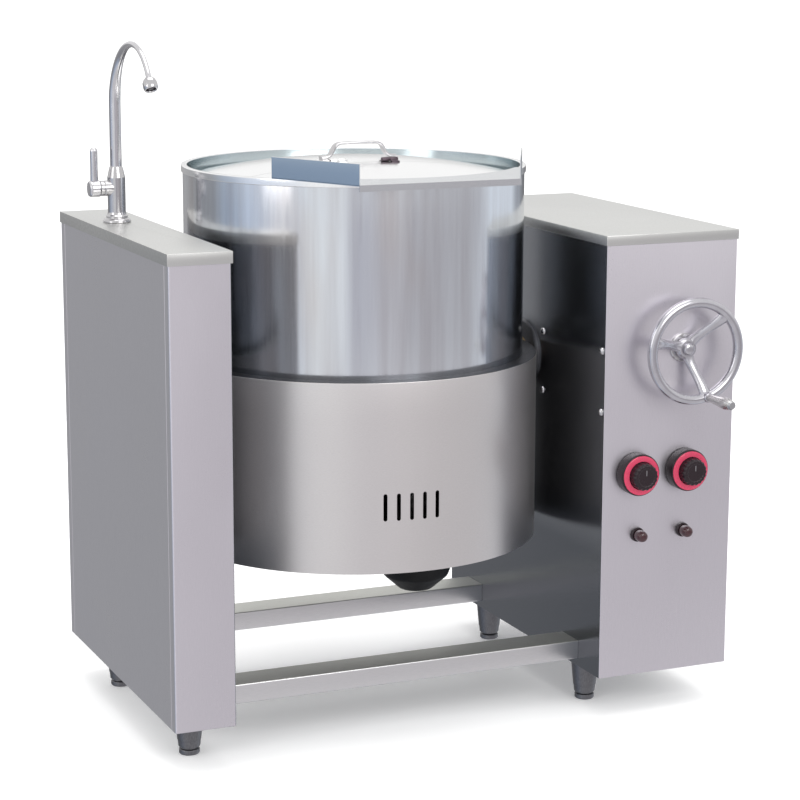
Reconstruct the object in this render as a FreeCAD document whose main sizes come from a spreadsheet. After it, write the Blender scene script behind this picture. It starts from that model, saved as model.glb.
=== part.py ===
import FreeCAD, Part
import os
import re

import Sketcher
from FreeCAD import Placement, Rotation, Vector

# Tilting steam jacketed kettle between two sheet-steel pedestals.
# Millimetres; +X to the right, +Y to the back, +Z up; the floor is Z = 0.

doc = FreeCAD.newDocument("kettle")
sizes = doc.addObject("Spreadsheet::Sheet", "Sizes")
places = doc.addObject("Spreadsheet::Sheet", "Places")
owner = {}
parts = {}


def full(text, home=None):
    # Puts the sheet's name before each alias in a formula.
    def named(match):
        sheet = owner.get(match[0])
        if sheet is None or sheet is home:
            return match[0]
        return sheet.Name + "." + match[0]

    return re.sub(r"[a-z]\w*", named, text)


def fill(sheet, rows):
    for row, (alias, content) in enumerate(rows, 1):
        sheet.set(f"A{row}", alias)
        sheet.set(f"B{row}", content if sheet is sizes else "=" + full(content, sheet))
        sheet.setAlias(f"B{row}", alias)
        owner[alias] = sheet


measures = {
    "ped_depth": 640, "left_width": 108, "right_width": 263, "kettle_gap": 694,
    "left_height": 889, "right_height": 880, "base_height": 79, "right_base": 74, "sheet_wall": 2,
    "left_cap_lip": 20, "right_cap_lip": 18, "tray_wall": 3,
    "tray_lip": 22, "seam_inset": 22, "seam_width": 1.2, "seam_depth": 0.8,
    "rail_depth": 65, "rail_height": 35, "rail_wall": 2.5, "rail_inset": 82,
    "rail_lift": 9,
    "foot_spread": 205, "foot_inset": 32, "left_foot_shift": 11.5, "sleeve_top": 25, "sleeve_bottom": 19,
    "pad_height": 14, "pad_radius": 18, "stem_radius": 7, "stem_rise": 30,
    "fit_gap": 0.2, "run_gap": 0.05, "side_gap": 0.5,
    "trunnion_height": 623, "trunnion_radius": 25, "bush_wall": 5,
    "flange_radius": 62, "flange_wall": 6, "spigot_radius": 40, "spigot_length": 62,
    "post_width": 110, "post_thick": 50, "post_wall": 4, "post_rise": 70,
    "collar_radius": 36, "collar_width": 12, "left_shaft_end": 6,
    "saddle_width": 110, "saddle_drop": 66, "saddle_rise": 18, "saddle_reach": 324,
    "gear_module": 2.5, "wheel_teeth": 26, "worm_pitch_radius": 17.5,
    "wheel_face": 16, "wheel_hub_radius": 27, "wheel_hub_length": 28,
    "gear_seat_radius": 18, "tooth_width": 3.2, "worm_length": 56,
    "worm_shaft_radius": 10, "gear_inset": 155, "bracket_wall": 6,
    "bracket_depth": 415, "bracket_low": 78, "bracket_high": 77,
    "bearing_spacing": 150, "block_depth": 20, "block_rise": 28, "block_reach": 28,
    "bolt_front": 12, "bolt_rear": 241, "bolt_low": 59, "bolt_high": 51,
    "bolt_head": 7, "bolt_dome": 5, "bolt_shank": 4,
    "hand_radius": 96, "hand_tube": 9, "hand_offset": 47, "hub_radius": 19,
    "hub_back": 6, "hub_front": 22, "spoke_width": 14, "first_spoke": -74,
    "nut_radius": 13, "nut_length": 8, "boss_radius": 9, "boss_rise": 13,
    "spindle_radius": 5, "grip_length": 72, "grip_radius": 11, "spindle_head": 4,
    "bush_flange_radius": 26, "bush_flange_wall": 5, "bush_spigot_radius": 16,
    "bush_spigot_length": 16,
    "skirt_radius": 333, "skirt_wall": 2, "skirt_drop": 306, "skirt_rise": 28,
    "slot_width": 7, "slot_length": 48, "slot_drop": 213, "slot_pitch": 4.05,
    "slot_centre": -5, "plate_lift": 8, "plate_wall": 2,
    "casing_radius": 307, "casing_wall": 2, "rim_rise": 368, "rim_wall": 3,
    "rim_bead": 12, "rim_lip": 2.5,
    "pan_radius": 278, "pan_wall": 3, "pan_drop": 102, "pan_crown": 560,
    "pan_knuckle": 80, "seat_step": 21, "seat_drop": 28,
    "jacket_radius": 315, "jacket_wall": 3, "jacket_drop": 134,
    "jacket_crown": 640, "jacket_knuckle": 90, "jacket_rise": 22,
    "sump_radius": 82, "sump_drop": 278, "sump_right": 71, "sump_forward": 122,
    "sump_rim": 14, "sump_rim_wall": 8, "element_plate": 10, "wool_gap": 0.4,
    "hairpin_radius": 5, "hairpin_bend": 17, "hairpin_height": 110,
    "hairpin_circle": 46, "hairpin_turn": 30, "hairpin_count": 3,
    "cover_depth": 101, "cover_wall": 2.5, "cover_rim": 96,
    "valve_pipe": 8, "valve_radius": 13, "valve_reach": 354, "valve_drop": 3,
    "valve_height": 62, "valve_cap": 16,
    "lip_reach": 374, "lip_tip": 147, "lip_root": 235, "lip_shift": 3, "lip_root_reach": 201,
    "lip_wall": 2, "lip_rise": 37, "lip_drip": 9,
    "lid_radius": 281, "lid_wall": 2, "lid_edge": 10, "lid_rise": 29,
    "lid_seam": 75, "seam_gap": 1, "handle_width": 101, "handle_height": 28.5,
    "handle_strap": 5, "handle_depth": 18, "handle_corner": 15, "handle_foot": 26,
    "hinge_left": 60, "hinge_right": 38, "hinge_length": 30, "leaf_width": 11, "leaf_wall": 2.5,
    "hinge_pin": 2, "knuckle_radius": 3.5, "hinge_lift": 5, "handle_shift": 8,
    "knob_inset": 64, "knob_spacing": 100, "knob_height": 451, "knob_radius": 38,
    "knob_depth": 27, "cap_radius": 28, "knob_cap": 18, "ring_wall": 3,
    "ring_band": 7, "switch_width": 44, "switch_depth": 42, "switch_stem": 3,
    "switch_neck": 6, "knob_clear": 0.6,
    "lamp_height": 337, "lamp_inset": 71, "lamp_spacing": 93, "lamp_radius": 13,
    "lamp_collar": 7, "lens_radius": 10.5, "lens_length": 22, "lamp_tail": 26, "lamp_tail_radius": 8,
    "gland_radius": 14, "gland_bore": 6.5, "gland_reach": 24, "gland_inset": 60,
    "gland_height": 140,
    "tap_depth": 446, "tap_shift": 4.5, "tap_flange": 25, "tap_flange_wall": 13, "tap_radius": 16,
    "tap_height": 100, "tap_shoulder": 12, "tube_radius": 8.5, "tube_bore": 6,
    "arch_radius": 106, "arch_height": 1204, "arch_end": 35, "nozzle_radius": 12,
    "nozzle_length": 24, "stub_radius": 13, "stub_reach": 31, "stub_height": 61,
    "lever_reach": 55, "lever_radius": 6, "lever_length": 72, "lever_inset": 11,
    "tail_radius": 9, "tail_length": 48, "tail_nut": 17, "tail_nut_wall": 8, "supply_radius": 22,
    "socket_depth": 30,
}
fill(sizes, [(alias, str(size)) for alias, size in measures.items()])
doc.recompute()

fill(places, [
    ("left_out", "0 - (left_width + kettle_gap + right_width) / 2"),
    ("left_in", "left_out + left_width"),
    ("right_in", "left_in + kettle_gap"),
    ("right_out", "right_in + right_width"),
    ("kettle_x", "left_in + kettle_gap / 2"),
    ("hand_reach", "hand_offset + boss_rise + grip_length + spindle_head + 2 * side_gap"),
    ("rear_reach", "valve_reach + valve_radius - ped_depth / 2"),
    ("front_y", "(hand_reach - ped_depth - rear_reach) / 2"),
    ("rear_y", "front_y + ped_depth"),
    ("kettle_y", "front_y + ped_depth / 2"),
    ("cap_reach", "sheet_wall + fit_gap"),
    ("tray_top", "base_height + tray_wall"),
    ("right_tray_top", "right_base + tray_wall"),
    ("wheel_radius", "gear_module * wheel_teeth / 2"),
    ("worm_z", "trunnion_height + wheel_radius + worm_pitch_radius"),
    ("gear_x", "right_in + gear_inset"),
    ("tooth_add", "gear_module"),
    ("tooth_ded", "gear_module * 1.24"),
    ("post_x", "right_in + sheet_wall + bracket_wall"),
    ("left_post_x", "left_in - 2 * sheet_wall - tray_wall - post_thick"),
    ("bush_radius", "trunnion_radius + run_gap + bush_wall"),
    ("jacket_out", "jacket_radius + jacket_wall"),
    ("jacket_floor", "trunnion_height - jacket_drop"),
    ("jacket_top", "trunnion_height + jacket_rise"),
    ("sump_floor", "trunnion_height - sump_drop"),
    ("pan_floor", "trunnion_height - pan_drop"),
    ("rim_height", "trunnion_height + rim_rise"),
    ("skirt_bottom", "trunnion_height - skirt_drop"),
    ("skirt_top", "trunnion_height + skirt_rise"),
    ("slot_bottom", "trunnion_height - slot_drop"),
    ("seat_z", "rim_height - seat_drop"),
    ("sump_x", "kettle_x + sump_right"),
    ("sump_y", "kettle_y - sump_forward"),
    ("plate_z", "skirt_bottom + plate_lift"),
    ("lid_top", "seat_z + lid_edge + lid_rise"),
    ("lid_crown", "(lid_radius ^ 2 + lid_rise ^ 2) / (2 * lid_rise)"),
    ("lid_centre_z", "lid_top - lid_crown"),
    ("seam_z", "lid_centre_z + sqrt(lid_crown ^ 2 - lid_seam ^ 2 - hinge_left ^ 2)"),
    ("hinge_z", "seam_z + hinge_lift"),
    ("tap_x", "left_out + left_width / 2 - tap_shift"),
    ("tap_y", "front_y + tap_depth"),
    ("arch_z", "arch_height - arch_radius"),
    ("stub_z", "left_height + stub_height"),
    ("tube_bottom", "left_height + tap_height - socket_depth"),
])
doc.recompute()


def value(text):
    found = sizes.evalExpression(full(text))
    return float(getattr(found, "Value", found))


def bind(item, **formulas):
    for prop, text in formulas.items():
        item.setExpression(prop, full(text))


TO_X = Rotation(Vector(0, 1, 0), 90)
TO_LEFT = Rotation(Vector(0, 1, 0), -90)
TO_Y = Rotation(Vector(1, 0, 0), -90)
TO_FRONT = Rotation(Vector(1, 0, 0), 90)


def place(item, spot, turn=None):
    # A piece's own Z runs along the axis that the turn names.
    if turn is not None:
        item.Placement = Placement(Vector(), turn)
    for letter, text in zip("xyz", spot):
        item.setExpression("Placement.Base." + letter, full(text))
    return item


def block(name, spot, length, width, height):
    item = doc.addObject("Part::Box", name)
    bind(item, Length=length, Width=width, Height=height)
    return place(item, spot)


def rod(name, spot, radius, height, turn=None):
    item = doc.addObject("Part::Cylinder", name)
    bind(item, Radius=radius, Height=height)
    return place(item, spot, turn)


def cut(name, base, *tools):
    for number, tool in enumerate(tools):
        step = doc.addObject("Part::Cut", f"{name}Cut{number}")
        step.Base = base
        step.Tool = tool
        base = step
    return base


def join(name, *pieces):
    item = doc.addObject("Part::MultiFuse", name + "Join")
    item.Shapes = list(pieces)
    item.Refine = True
    return item


def common(name, first, second):
    item = doc.addObject("Part::Common", name + "Common")
    item.Base = first
    item.Tool = second
    return item


def group(name, pieces):
    item = doc.addObject("Part::Compound", name + "Group")
    item.Links = list(pieces)
    return item


def node(label, item):
    item.Label = label
    parts[label] = item
    return item


def arc(start, end, radius):
    # The short arc from start to end; a positive radius turns to the left.
    middle = (start + end) / 2
    along = end - start
    across = Vector(-along.y, along.x, 0).normalize() * (1 if radius > 0 else -1)
    centre = middle + across * max(radius ** 2 - (along.Length / 2) ** 2, 0) ** 0.5
    first, last = (start, end) if radius > 0 else (end, start)
    turn = [Vector(1, 0, 0).getAngle(p - centre) * (1 if p.y >= centre.y else -1) for p in (first, last)]
    if turn[1] < turn[0]:
        turn[1] += 2 * 3.141592653589793
    return Part.ArcOfCircle(Part.Circle(centre, Vector(0, 0, 1), abs(radius)), *turn)


def sketch(body, role, corners):
    # A closed outline of corners; a corner's third value is the radius of the run that follows it.
    item = body.newObject("Sketcher::SketchObject", body.Name + "Outline")
    plane = next(face for face in body.Origin.OriginFeatures if face.Role == role)
    item.AttachmentSupport = [(plane, "")]
    item.MapMode = "FlatFace"
    points = [Vector(value(corner[0]), value(corner[1]), 0) for corner in corners]
    starts = []
    ends = []
    for number, corner in enumerate(corners):
        start, end = points[number], points[(number + 1) % len(points)]
        left = True
        if len(corner) > 2:
            radius = value(corner[2])
            left = radius > 0
            item.addGeometry(arc(start, end, radius))
        else:
            item.addGeometry(Part.LineSegment(start, end))
        starts.append(1 if left else 2)
        ends.append(2 if left else 1)
    count = len(corners)
    for number in range(count):
        after = (number + 1) % count
        item.addConstraint(Sketcher.Constraint("Coincident", number, ends[number], after, starts[after]))
    for number, corner in enumerate(corners):
        for kind, text, size in (("DistanceX", corner[0], points[number].x),
                                 ("DistanceY", corner[1], points[number].y)):
            row = item.addConstraint(Sketcher.Constraint(kind, -1, 1, number, starts[number], size))
            item.setExpression(f"Constraints[{row}]", full(text))
        if len(corner) > 2:
            row = item.addConstraint(Sketcher.Constraint("Radius", number, abs(value(corner[2]))))
            item.setExpression(f"Constraints[{row}]", full(f"abs({corner[2]})"))
    return item


def turned(name, spot, corners, turn=None):
    # A profile of (radius, height) corners turned about its own Z axis.
    body = doc.addObject("PartDesign::Body", name)
    outline = sketch(body, "XZ_Plane", corners)
    round_form = body.newObject("PartDesign::Revolution", name + "Turned")
    round_form.Profile = outline
    round_form.ReferenceAxis = (outline, ["V_Axis"])
    round_form.Angle = 360
    outline.Visibility = False
    return place(body, spot, turn)


def padded(name, spot, role, corners, height, middle=False, turn=None):
    body = doc.addObject("PartDesign::Body", name)
    outline = sketch(body, role, corners)
    pad = body.newObject("PartDesign::Pad", name + "Pad")
    pad.Profile = outline
    pad.Midplane = middle
    bind(pad, Length=height)
    return place(body, spot, turn)


def dish(radius, crown, knuckle, floor):
    # Corners of a dished end from its axis out to its wall: crown arc, then knuckle arc.
    reach = f"({radius} - ({knuckle}))"
    spread = f"({crown} - ({knuckle}))"
    drop = f"sqrt({spread} ^ 2 - {reach} ^ 2)"
    centre = f"({floor} + {crown})"
    return [("0", floor), (f"{reach} * ({crown}) / {spread}", f"{centre} - {drop} * ({crown}) / {spread}"),
            (radius, f"{centre} - {drop}")]


def pedestal_shell(side, low, width, top, open_end, base):
    # Sheet wrap of three walls: two sides and one end, open towards open_end.
    tall = f"{top} - sheet_wall - {base}"
    outer = block(side + "ShellOut", (low, "front_y", base), width, "ped_depth", tall)
    start = "front_y - sheet_wall" if open_end == "front" else "front_y + sheet_wall"
    inner = block(side + "ShellIn", (low + " + sheet_wall", start, base + " - sheet_wall"),
                  width + " - 2 * sheet_wall", "ped_depth", f"{top} - {base} + sheet_wall")
    return cut(side + "Shell", outer, inner)


def pedestal_cap(side, low, width, top, lip):
    outer = block(side + "CapOut", (low + " - cap_reach", "front_y - cap_reach", f"{top} - {lip}"),
                  width + " + 2 * cap_reach", "ped_depth + 2 * cap_reach", lip)
    inner = block(side + "CapIn",
                  (low + " - cap_reach + sheet_wall", "front_y - cap_reach + sheet_wall",
                   f"{top} - {lip} - sheet_wall"),
                  width + " + 2 * cap_reach - 2 * sheet_wall",
                  "ped_depth + 2 * cap_reach - 2 * sheet_wall", lip)
    return cut(side + "Cap", outer, inner)


def base_tray(side, low, width, base):
    # Folded floor of a pedestal, inside its sheet wrap.
    span = f"{width} - 2 * sheet_wall - 2 * fit_gap"
    run = "ped_depth - 2 * sheet_wall - 2 * fit_gap"
    outer = block(side + "TrayOut", (low + " + sheet_wall + fit_gap", "front_y + sheet_wall + fit_gap",
                                     base), span, run, "tray_lip")
    inner = block(side + "TrayIn",
                  (low + " + sheet_wall + fit_gap + tray_wall", "front_y + sheet_wall + fit_gap + tray_wall",
                   base + " + tray_wall"), span + " - 2 * tray_wall", run + " - 2 * tray_wall", "tray_lip")
    return cut(side + "Tray", outer, inner)


# Pedestal sheets
left_wrap = pedestal_shell("Left", "left_out", "left_width", "left_height", "back", "base_height")
seams = [block(f"LeftSeam{end}", ("left_out - seam_depth", at, "base_height"), "2 * seam_depth",
               "seam_width", "left_height - base_height")
         for end, at in (("Front", "front_y + seam_inset"), ("Rear", "rear_y - seam_inset - seam_width"))]
left_port = rod("LeftPort", ("left_in - 2 * sheet_wall", "kettle_y", "trunnion_height"),
                "spigot_radius + fit_gap", "3 * sheet_wall", TO_X)
node("left_shell", cut("LeftShell", left_wrap, *seams, left_port))

tap_hole = rod("TapHole", ("tap_x", "tap_y", "left_height - 2 * sheet_wall"), "tail_radius + fit_gap",
               "3 * sheet_wall")
node("left_cap", cut("LeftCapHoled", pedestal_cap("Left", "left_out", "left_width", "left_height",
                                                  "left_cap_lip"), tap_hole))
node("left_back_panel", block("LeftBack", ("left_out + sheet_wall", "rear_y - sheet_wall", "base_height"),
                              "left_width - 2 * sheet_wall", "sheet_wall",
                              "left_height - base_height - sheet_wall"))
supply_port = rod("SupplyPort", ("tap_x", "tap_y", "base_height - tray_wall"), "supply_radius",
                  "3 * tray_wall")
left_tray = base_tray("Left", "left_out", "left_width", "base_height")
node("left_base_tray", cut("LeftTrayPorted", left_tray, supply_port))

right_wrap = pedestal_shell("Right", "right_in", "right_width", "right_height", "front", "right_base")
panel_slice = block("PanelSlice", ("right_in - sheet_wall", "front_y - sheet_wall", "0"),
                    "right_width + 2 * sheet_wall", "2 * sheet_wall", "right_height")
right_port = rod("RightPort", ("right_in - sheet_wall", "kettle_y", "trunnion_height"),
                 "spigot_radius + fit_gap", "3 * sheet_wall", TO_X)
bolt_spots = [("front_y + " + along, up) for along in ("bolt_front", "bolt_rear")
              for up in ("trunnion_height - bolt_low", "trunnion_height + bolt_high")]
bolt_holes = [rod(f"BoltHole{number}", ("right_in - sheet_wall", along, up), "bolt_shank + fit_gap",
                  "3 * sheet_wall + bracket_wall", TO_X)
              for number, (along, up) in enumerate(bolt_spots)]
gland_x = "right_out - gland_inset"
gland_hole = rod("GlandHole", (gland_x, "rear_y - 2 * sheet_wall", "gland_height"),
                 "gland_bore + 2 + fit_gap", "3 * sheet_wall", TO_Y)
node("right_shell", cut("RightShell", right_wrap, panel_slice, right_port, gland_hole, *bolt_holes))
node("right_cap", pedestal_cap("Right", "right_in", "right_width", "right_height", "right_cap_lip"))
node("right_base_tray", base_tray("Right", "right_in", "right_width", "right_base"))

knob_xs = ["right_in + knob_inset", "right_in + knob_inset + knob_spacing"]
lamp_xs = ["right_in + lamp_inset", "right_in + lamp_inset + lamp_spacing"]
panel = block("Panel", ("right_in", "front_y", "right_base"), "right_width", "sheet_wall",
              "right_height - right_base - sheet_wall")
panel_holes = [rod("ShaftHole", ("gear_x", "front_y - sheet_wall", "worm_z"),
                   "bush_spigot_radius + fit_gap", "3 * sheet_wall", TO_Y)]
for number, (across, lamp_x) in enumerate(zip(knob_xs, lamp_xs)):
    panel_holes.append(rod(f"StemHole{number}", (across, "front_y - sheet_wall", "knob_height"),
                           "switch_neck + fit_gap", "3 * sheet_wall", TO_Y))
    panel_holes.append(rod(f"LampHole{number}", (lamp_x, "front_y - sheet_wall", "lamp_height"),
                           "lamp_tail_radius + fit_gap", "3 * sheet_wall", TO_Y))
node("control_panel", cut("ControlPanel", panel, *panel_holes))


# Rails and feet
def rail(name, along):
    low = "base_height + rail_lift"
    outer = block(name + "Out", ("left_in", along, low), "kettle_gap", "rail_depth", "rail_height")
    inner = block(name + "In", ("left_in - rail_wall", along + " + rail_wall", low + " + rail_wall"),
                  "kettle_gap + 2 * rail_wall", "rail_depth - 2 * rail_wall", "rail_height - 2 * rail_wall")
    return cut(name, outer, inner)


node("front_rail", rail("FrontRail", "front_y + rail_inset"))
node("rear_rail", rail("RearRail", "rear_y - rail_inset - rail_depth"))

left_foot = "tap_x + left_foot_shift"
foot_spots = [(left_foot, "kettle_y - foot_spread", "base_height"),
              (left_foot, "kettle_y + foot_spread", "base_height"),
              ("right_in + foot_inset", "kettle_y - foot_spread", "right_base"),
              ("right_in + foot_inset", "kettle_y + foot_spread", "right_base"),
              ("right_out - foot_inset", "kettle_y", "right_base")]
sleeves = []
pads = []
for number, (across, along, top) in enumerate(foot_spots):
    sleeves.append(turned(f"Sleeve{number}", (across, along, "0"),
                          [("stem_radius + fit_gap", "pad_height"), ("sleeve_bottom", "pad_height"),
                           ("sleeve_top", top), ("stem_radius + fit_gap", top)]))
    pads.append(turned(f"Pad{number}", (across, along, "0"),
                       [("0", "0"), ("pad_radius - 2", "0"), ("pad_radius", "2"),
                        ("pad_radius", "pad_height"), ("stem_radius", "pad_height"),
                        ("stem_radius", "pad_height + stem_rise"), ("0", "pad_height + stem_rise")]))
node("foot_sleeves", group("Sleeves", sleeves))
node("foot_pads", group("Pads", pads))


# Trunnion posts, bearings and shafts
def post(name, low, floor):
    outer = block(name + "Out", (low, "kettle_y - post_width / 2", floor), "post_thick", "post_width",
                  "trunnion_height + post_rise - " + floor)
    inner = block(name + "In", (low + " + post_wall", "kettle_y - post_width / 2 + post_wall",
                                floor + " - post_wall"),
                  "post_thick - 2 * post_wall", "post_width - 2 * post_wall",
                  "trunnion_height + post_rise - " + floor)
    bore = rod(name + "Bore", (low + " - post_wall", "kettle_y", "trunnion_height"),
               "spigot_radius + fit_gap", "post_thick + 2 * post_wall", TO_X)
    return cut(name, outer, inner, bore)


node("bearing_posts", group("Posts", [post("LeftPost", "left_post_x", "tray_top"),
                                       post("RightPost", "post_x", "right_tray_top")]))


def bearing(name, face, turn):
    # Flange on the kettle's side of the sheet, spigot through the sheet and the post.
    return turned(name, (face, "kettle_y", "trunnion_height"),
                  [("bush_radius", "0 - flange_wall"), ("flange_radius - 2", "0 - flange_wall"),
                   ("flange_radius", "2 - flange_wall"), ("flange_radius", "0"), ("spigot_radius", "0"),
                   ("spigot_radius", "spigot_length"), ("bush_radius", "spigot_length")], turn)


def bush(name, face, turn):
    return turned(name, (face, "kettle_y", "trunnion_height"),
                  [("trunnion_radius + run_gap", "0 - flange_wall"), ("bush_radius", "0 - flange_wall"),
                   ("bush_radius", "spigot_length"), ("trunnion_radius + run_gap", "spigot_length")], turn)


node("left_bearing", bearing("LeftBearing", "left_in", TO_LEFT))
node("right_bearing", bearing("RightBearing", "right_in", TO_X))
node("trunnion_bushes", group("Bushes", [bush("LeftBush", "left_in", TO_LEFT),
                                         bush("RightBush", "right_in", TO_X)]))

jacket_form = turned("JacketForm", ("kettle_x", "kettle_y", "0"),
                     [corner + (("jacket_crown + jacket_wall",), ("jacket_knuckle + jacket_wall",), ())[step]
                      for step, corner in enumerate(dish("jacket_out", "(jacket_crown + jacket_wall)",
                                                         "(jacket_knuckle + jacket_wall)",
                                                         "(jacket_floor - jacket_wall)"))]
                     + [("jacket_out", "jacket_top"), ("0", "jacket_top")])


def trunnion(name, side, steps):
    # Saddle on the jacket's wall with a stepped shaft; side is 1 to the right, -1 to the left.
    low = "kettle_x + jacket_radius - 60" if side > 0 else "kettle_x - saddle_reach"
    pad = block(name + "Pad", (low, "kettle_y - saddle_width / 2", "trunnion_height - saddle_drop"),
                "saddle_reach - jacket_radius + 60", "saddle_width", "saddle_drop + saddle_rise")
    saddle = cut(name + "Saddle", pad, jacket_form)
    corners = [("0", "jacket_out")]
    for radius, end in steps:
        corners += [(radius, corners[-1][1]), (radius, end)]
    corners.append(("0", corners[-1][1]))
    shaft = turned(name + "Shaft", ("kettle_x", "kettle_y", "trunnion_height"), corners,
                   TO_X if side > 0 else TO_LEFT)
    return join(name, saddle, shaft)


half_gap = "kettle_gap / 2"
collar_start = f"{half_gap} + spigot_length + side_gap"
node("left_trunnion", trunnion("LeftTrunnion", -1,
                               [("trunnion_radius", f"{collar_start} + collar_width + left_shaft_end")]))
node("right_trunnion", trunnion("RightTrunnion", 1, [
    ("trunnion_radius", f"{half_gap} + gear_inset - wheel_hub_length / 2 - side_gap"),
    ("gear_seat_radius", f"{half_gap} + gear_inset + wheel_hub_length / 2 + left_shaft_end")]))


def collar(name, turn):
    return turned(name, ("kettle_x", "kettle_y", "trunnion_height"),
                  [("trunnion_radius + fit_gap", collar_start), ("collar_radius", collar_start),
                   ("collar_radius", collar_start + " + collar_width"),
                   ("trunnion_radius + fit_gap", collar_start + " + collar_width")], turn)


node("shaft_collars", group("Collars", [collar("LeftCollar", TO_LEFT), collar("RightCollar", TO_X)]))


# Worm gear
def tooth_half(at):
    # Half the tooth's thickness at a height above the pitch line, for 20 degree flanks.
    return f"(tooth_width / 2 - ({at}) * tan(20))"


def worm_wheel():
    hub = turned("WheelHub", ("gear_x", "kettle_y", "trunnion_height"),
                 [("gear_seat_radius + fit_gap", "0 - wheel_hub_length / 2"),
                  ("wheel_hub_radius", "0 - wheel_hub_length / 2"),
                  ("wheel_hub_radius", "0 - wheel_face / 2"),
                  ("wheel_radius - tooth_ded", "0 - wheel_face / 2"),
                  ("wheel_radius - tooth_ded", "wheel_face / 2"), ("wheel_hub_radius", "wheel_face / 2"),
                  ("wheel_hub_radius", "wheel_hub_length / 2"),
                  ("gear_seat_radius + fit_gap", "wheel_hub_length / 2")], TO_X)
    root, tip = "wheel_radius - tooth_ded", "wheel_radius + tooth_add"
    low, high = tooth_half("0 - tooth_ded"), tooth_half("tooth_add")
    teeth = []
    for number in range(round(value("wheel_teeth"))):
        corners = [("wheel_radius - tooth_ded - 1", "0 - " + low), (root, "0 - " + low), (tip, "0 - " + high),
                   (tip, high), (root, low), ("wheel_radius - tooth_ded - 1", low)]
        tooth = padded(f"Tooth{number}", ("gear_x", "kettle_y", "trunnion_height"), "XY_Plane", corners,
                       "wheel_face", middle=True)
        # The lead angle slants each tooth to lie along the worm's thread.
        pad = tooth.Tip
        pad.UseCustomVector = True
        pad.Direction = Vector(0, -gear_slant, 1)
        turn = TO_X * Rotation(Vector(0, 0, 1), (number + 0.5) * 360 / value("wheel_teeth"))
        tooth.Placement = Placement(tooth.Placement.Base, turn * Rotation(Vector(0, 0, 1), 180))
        teeth.append(tooth)
    return join("WormWheel", hub, *teeth)


gear_slant = value("gear_module") / (2 * value("worm_pitch_radius"))
node("worm_wheel", worm_wheel())


def worm():
    # Single-start right-hand thread; at rest it lies between two teeth at the wheel's top.
    start = "0 - worm_length / 2"
    body = turned("Worm", ("gear_x", "kettle_y", "worm_z"),
                  [("worm_shaft_radius + fit_gap / 2", start + " - gear_module * 2"),
                   ("worm_pitch_radius - tooth_ded", start + " - gear_module * 2"),
                   ("worm_pitch_radius - tooth_ded", "worm_length / 2 + gear_module * 2"),
                   ("worm_shaft_radius + fit_gap / 2", "worm_length / 2 + gear_module * 2")])
    pitch = "(gear_module * 3.14159265)"
    turns = round(value("worm_length") / value(pitch)) - 1
    base = f"(0 - {turns} * {pitch} / 2)"
    root, tip = "worm_pitch_radius - tooth_ded", "worm_pitch_radius + tooth_add"
    low, high = tooth_half("0 - tooth_ded"), tooth_half("tooth_add")
    outline = sketch(body, "XZ_Plane", [(root + " - 0.2", f"{base} - {low}"), (tip, f"{base} - {high}"),
                                        (tip, f"{base} + {high}"), (root + " - 0.2", f"{base} + {low}")])
    thread = body.newObject("PartDesign::AdditiveHelix", "WormThread")
    thread.Profile = outline
    thread.ReferenceAxis = (outline, ["V_Axis"])
    thread.Mode = 0
    bind(thread, Pitch=pitch, Height=f"{turns} * {pitch}")
    body.Placement = Placement(body.Placement.Base, TO_Y * Rotation(Vector(0, 0, 1), worm_phase))
    return body


worm_phase = 90 if round(value("worm_length") / (value("gear_module") * 3.14159265)) % 2 else -90
node("worm", worm())
shaft_front = "(hub_front + nut_length - 4 - fit_gap)"
node("worm_shaft", rod("WormShaft", ("gear_x", f"front_y - {shaft_front}", "worm_z"), "worm_shaft_radius",
                       f"{shaft_front} + bracket_depth", TO_Y))

bracket = block("Bracket", ("right_in + sheet_wall", "front_y + 2 * sheet_wall",
                            "trunnion_height - bracket_low"),
                "bracket_wall", "bracket_depth", "bracket_low + bracket_high")
bracket_port = rod("BracketPort", ("right_in", "kettle_y", "trunnion_height"), "spigot_radius + fit_gap",
                   "2 * sheet_wall + bracket_wall", TO_X)
node("gear_bracket", cut("GearBracket", bracket, bracket_port, *bolt_holes))


def worm_bearing(name, along):
    low = "post_x"
    body = block(name + "Block", (low, f"{along} - block_depth / 2", "worm_z - block_rise"),
                 f"gear_x + block_reach - ({low})", "block_depth", "2 * block_rise")
    bore = rod(name + "Bore", ("gear_x", f"{along} - block_depth", "worm_z"),
               "worm_shaft_radius + run_gap", "2 * block_depth", TO_Y)
    return cut(name, body, bore)


node("worm_bearings", group("WormBearings", [
    worm_bearing("FrontBearing", "kettle_y - bearing_spacing / 2"),
    worm_bearing("RearBearing", "kettle_y + bearing_spacing / 2")]))

bolts = [turned(f"Bolt{number}", ("right_in", along, up),
                [("0", "0 - bolt_dome"), ("bolt_head * 0.55", "0 - bolt_dome * 0.82"),
                 ("bolt_head", "0 - bolt_dome * 0.2"), ("bolt_head", "0"), ("bolt_shank", "0"),
                 ("bolt_shank", "sheet_wall + bracket_wall"), ("0", "sheet_wall + bracket_wall")], TO_X)
         for number, (along, up) in enumerate(bolt_spots)]
node("bracket_bolts", group("Bolts", bolts))

hand_spot = ("gear_x", "front_y", "worm_z")
node("shaft_flange", turned("ShaftFlange", hand_spot, [
    ("worm_shaft_radius + run_gap", "bush_flange_wall"), ("worm_shaft_radius + run_gap",
                                                          "0 - bush_spigot_length"),
    ("bush_spigot_radius", "0 - bush_spigot_length"), ("bush_spigot_radius", "0"),
    ("bush_flange_radius", "0"), ("bush_flange_radius", "bush_flange_wall - 1.5"),
    ("bush_flange_radius - 1.5", "bush_flange_wall")], TO_FRONT))


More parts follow.
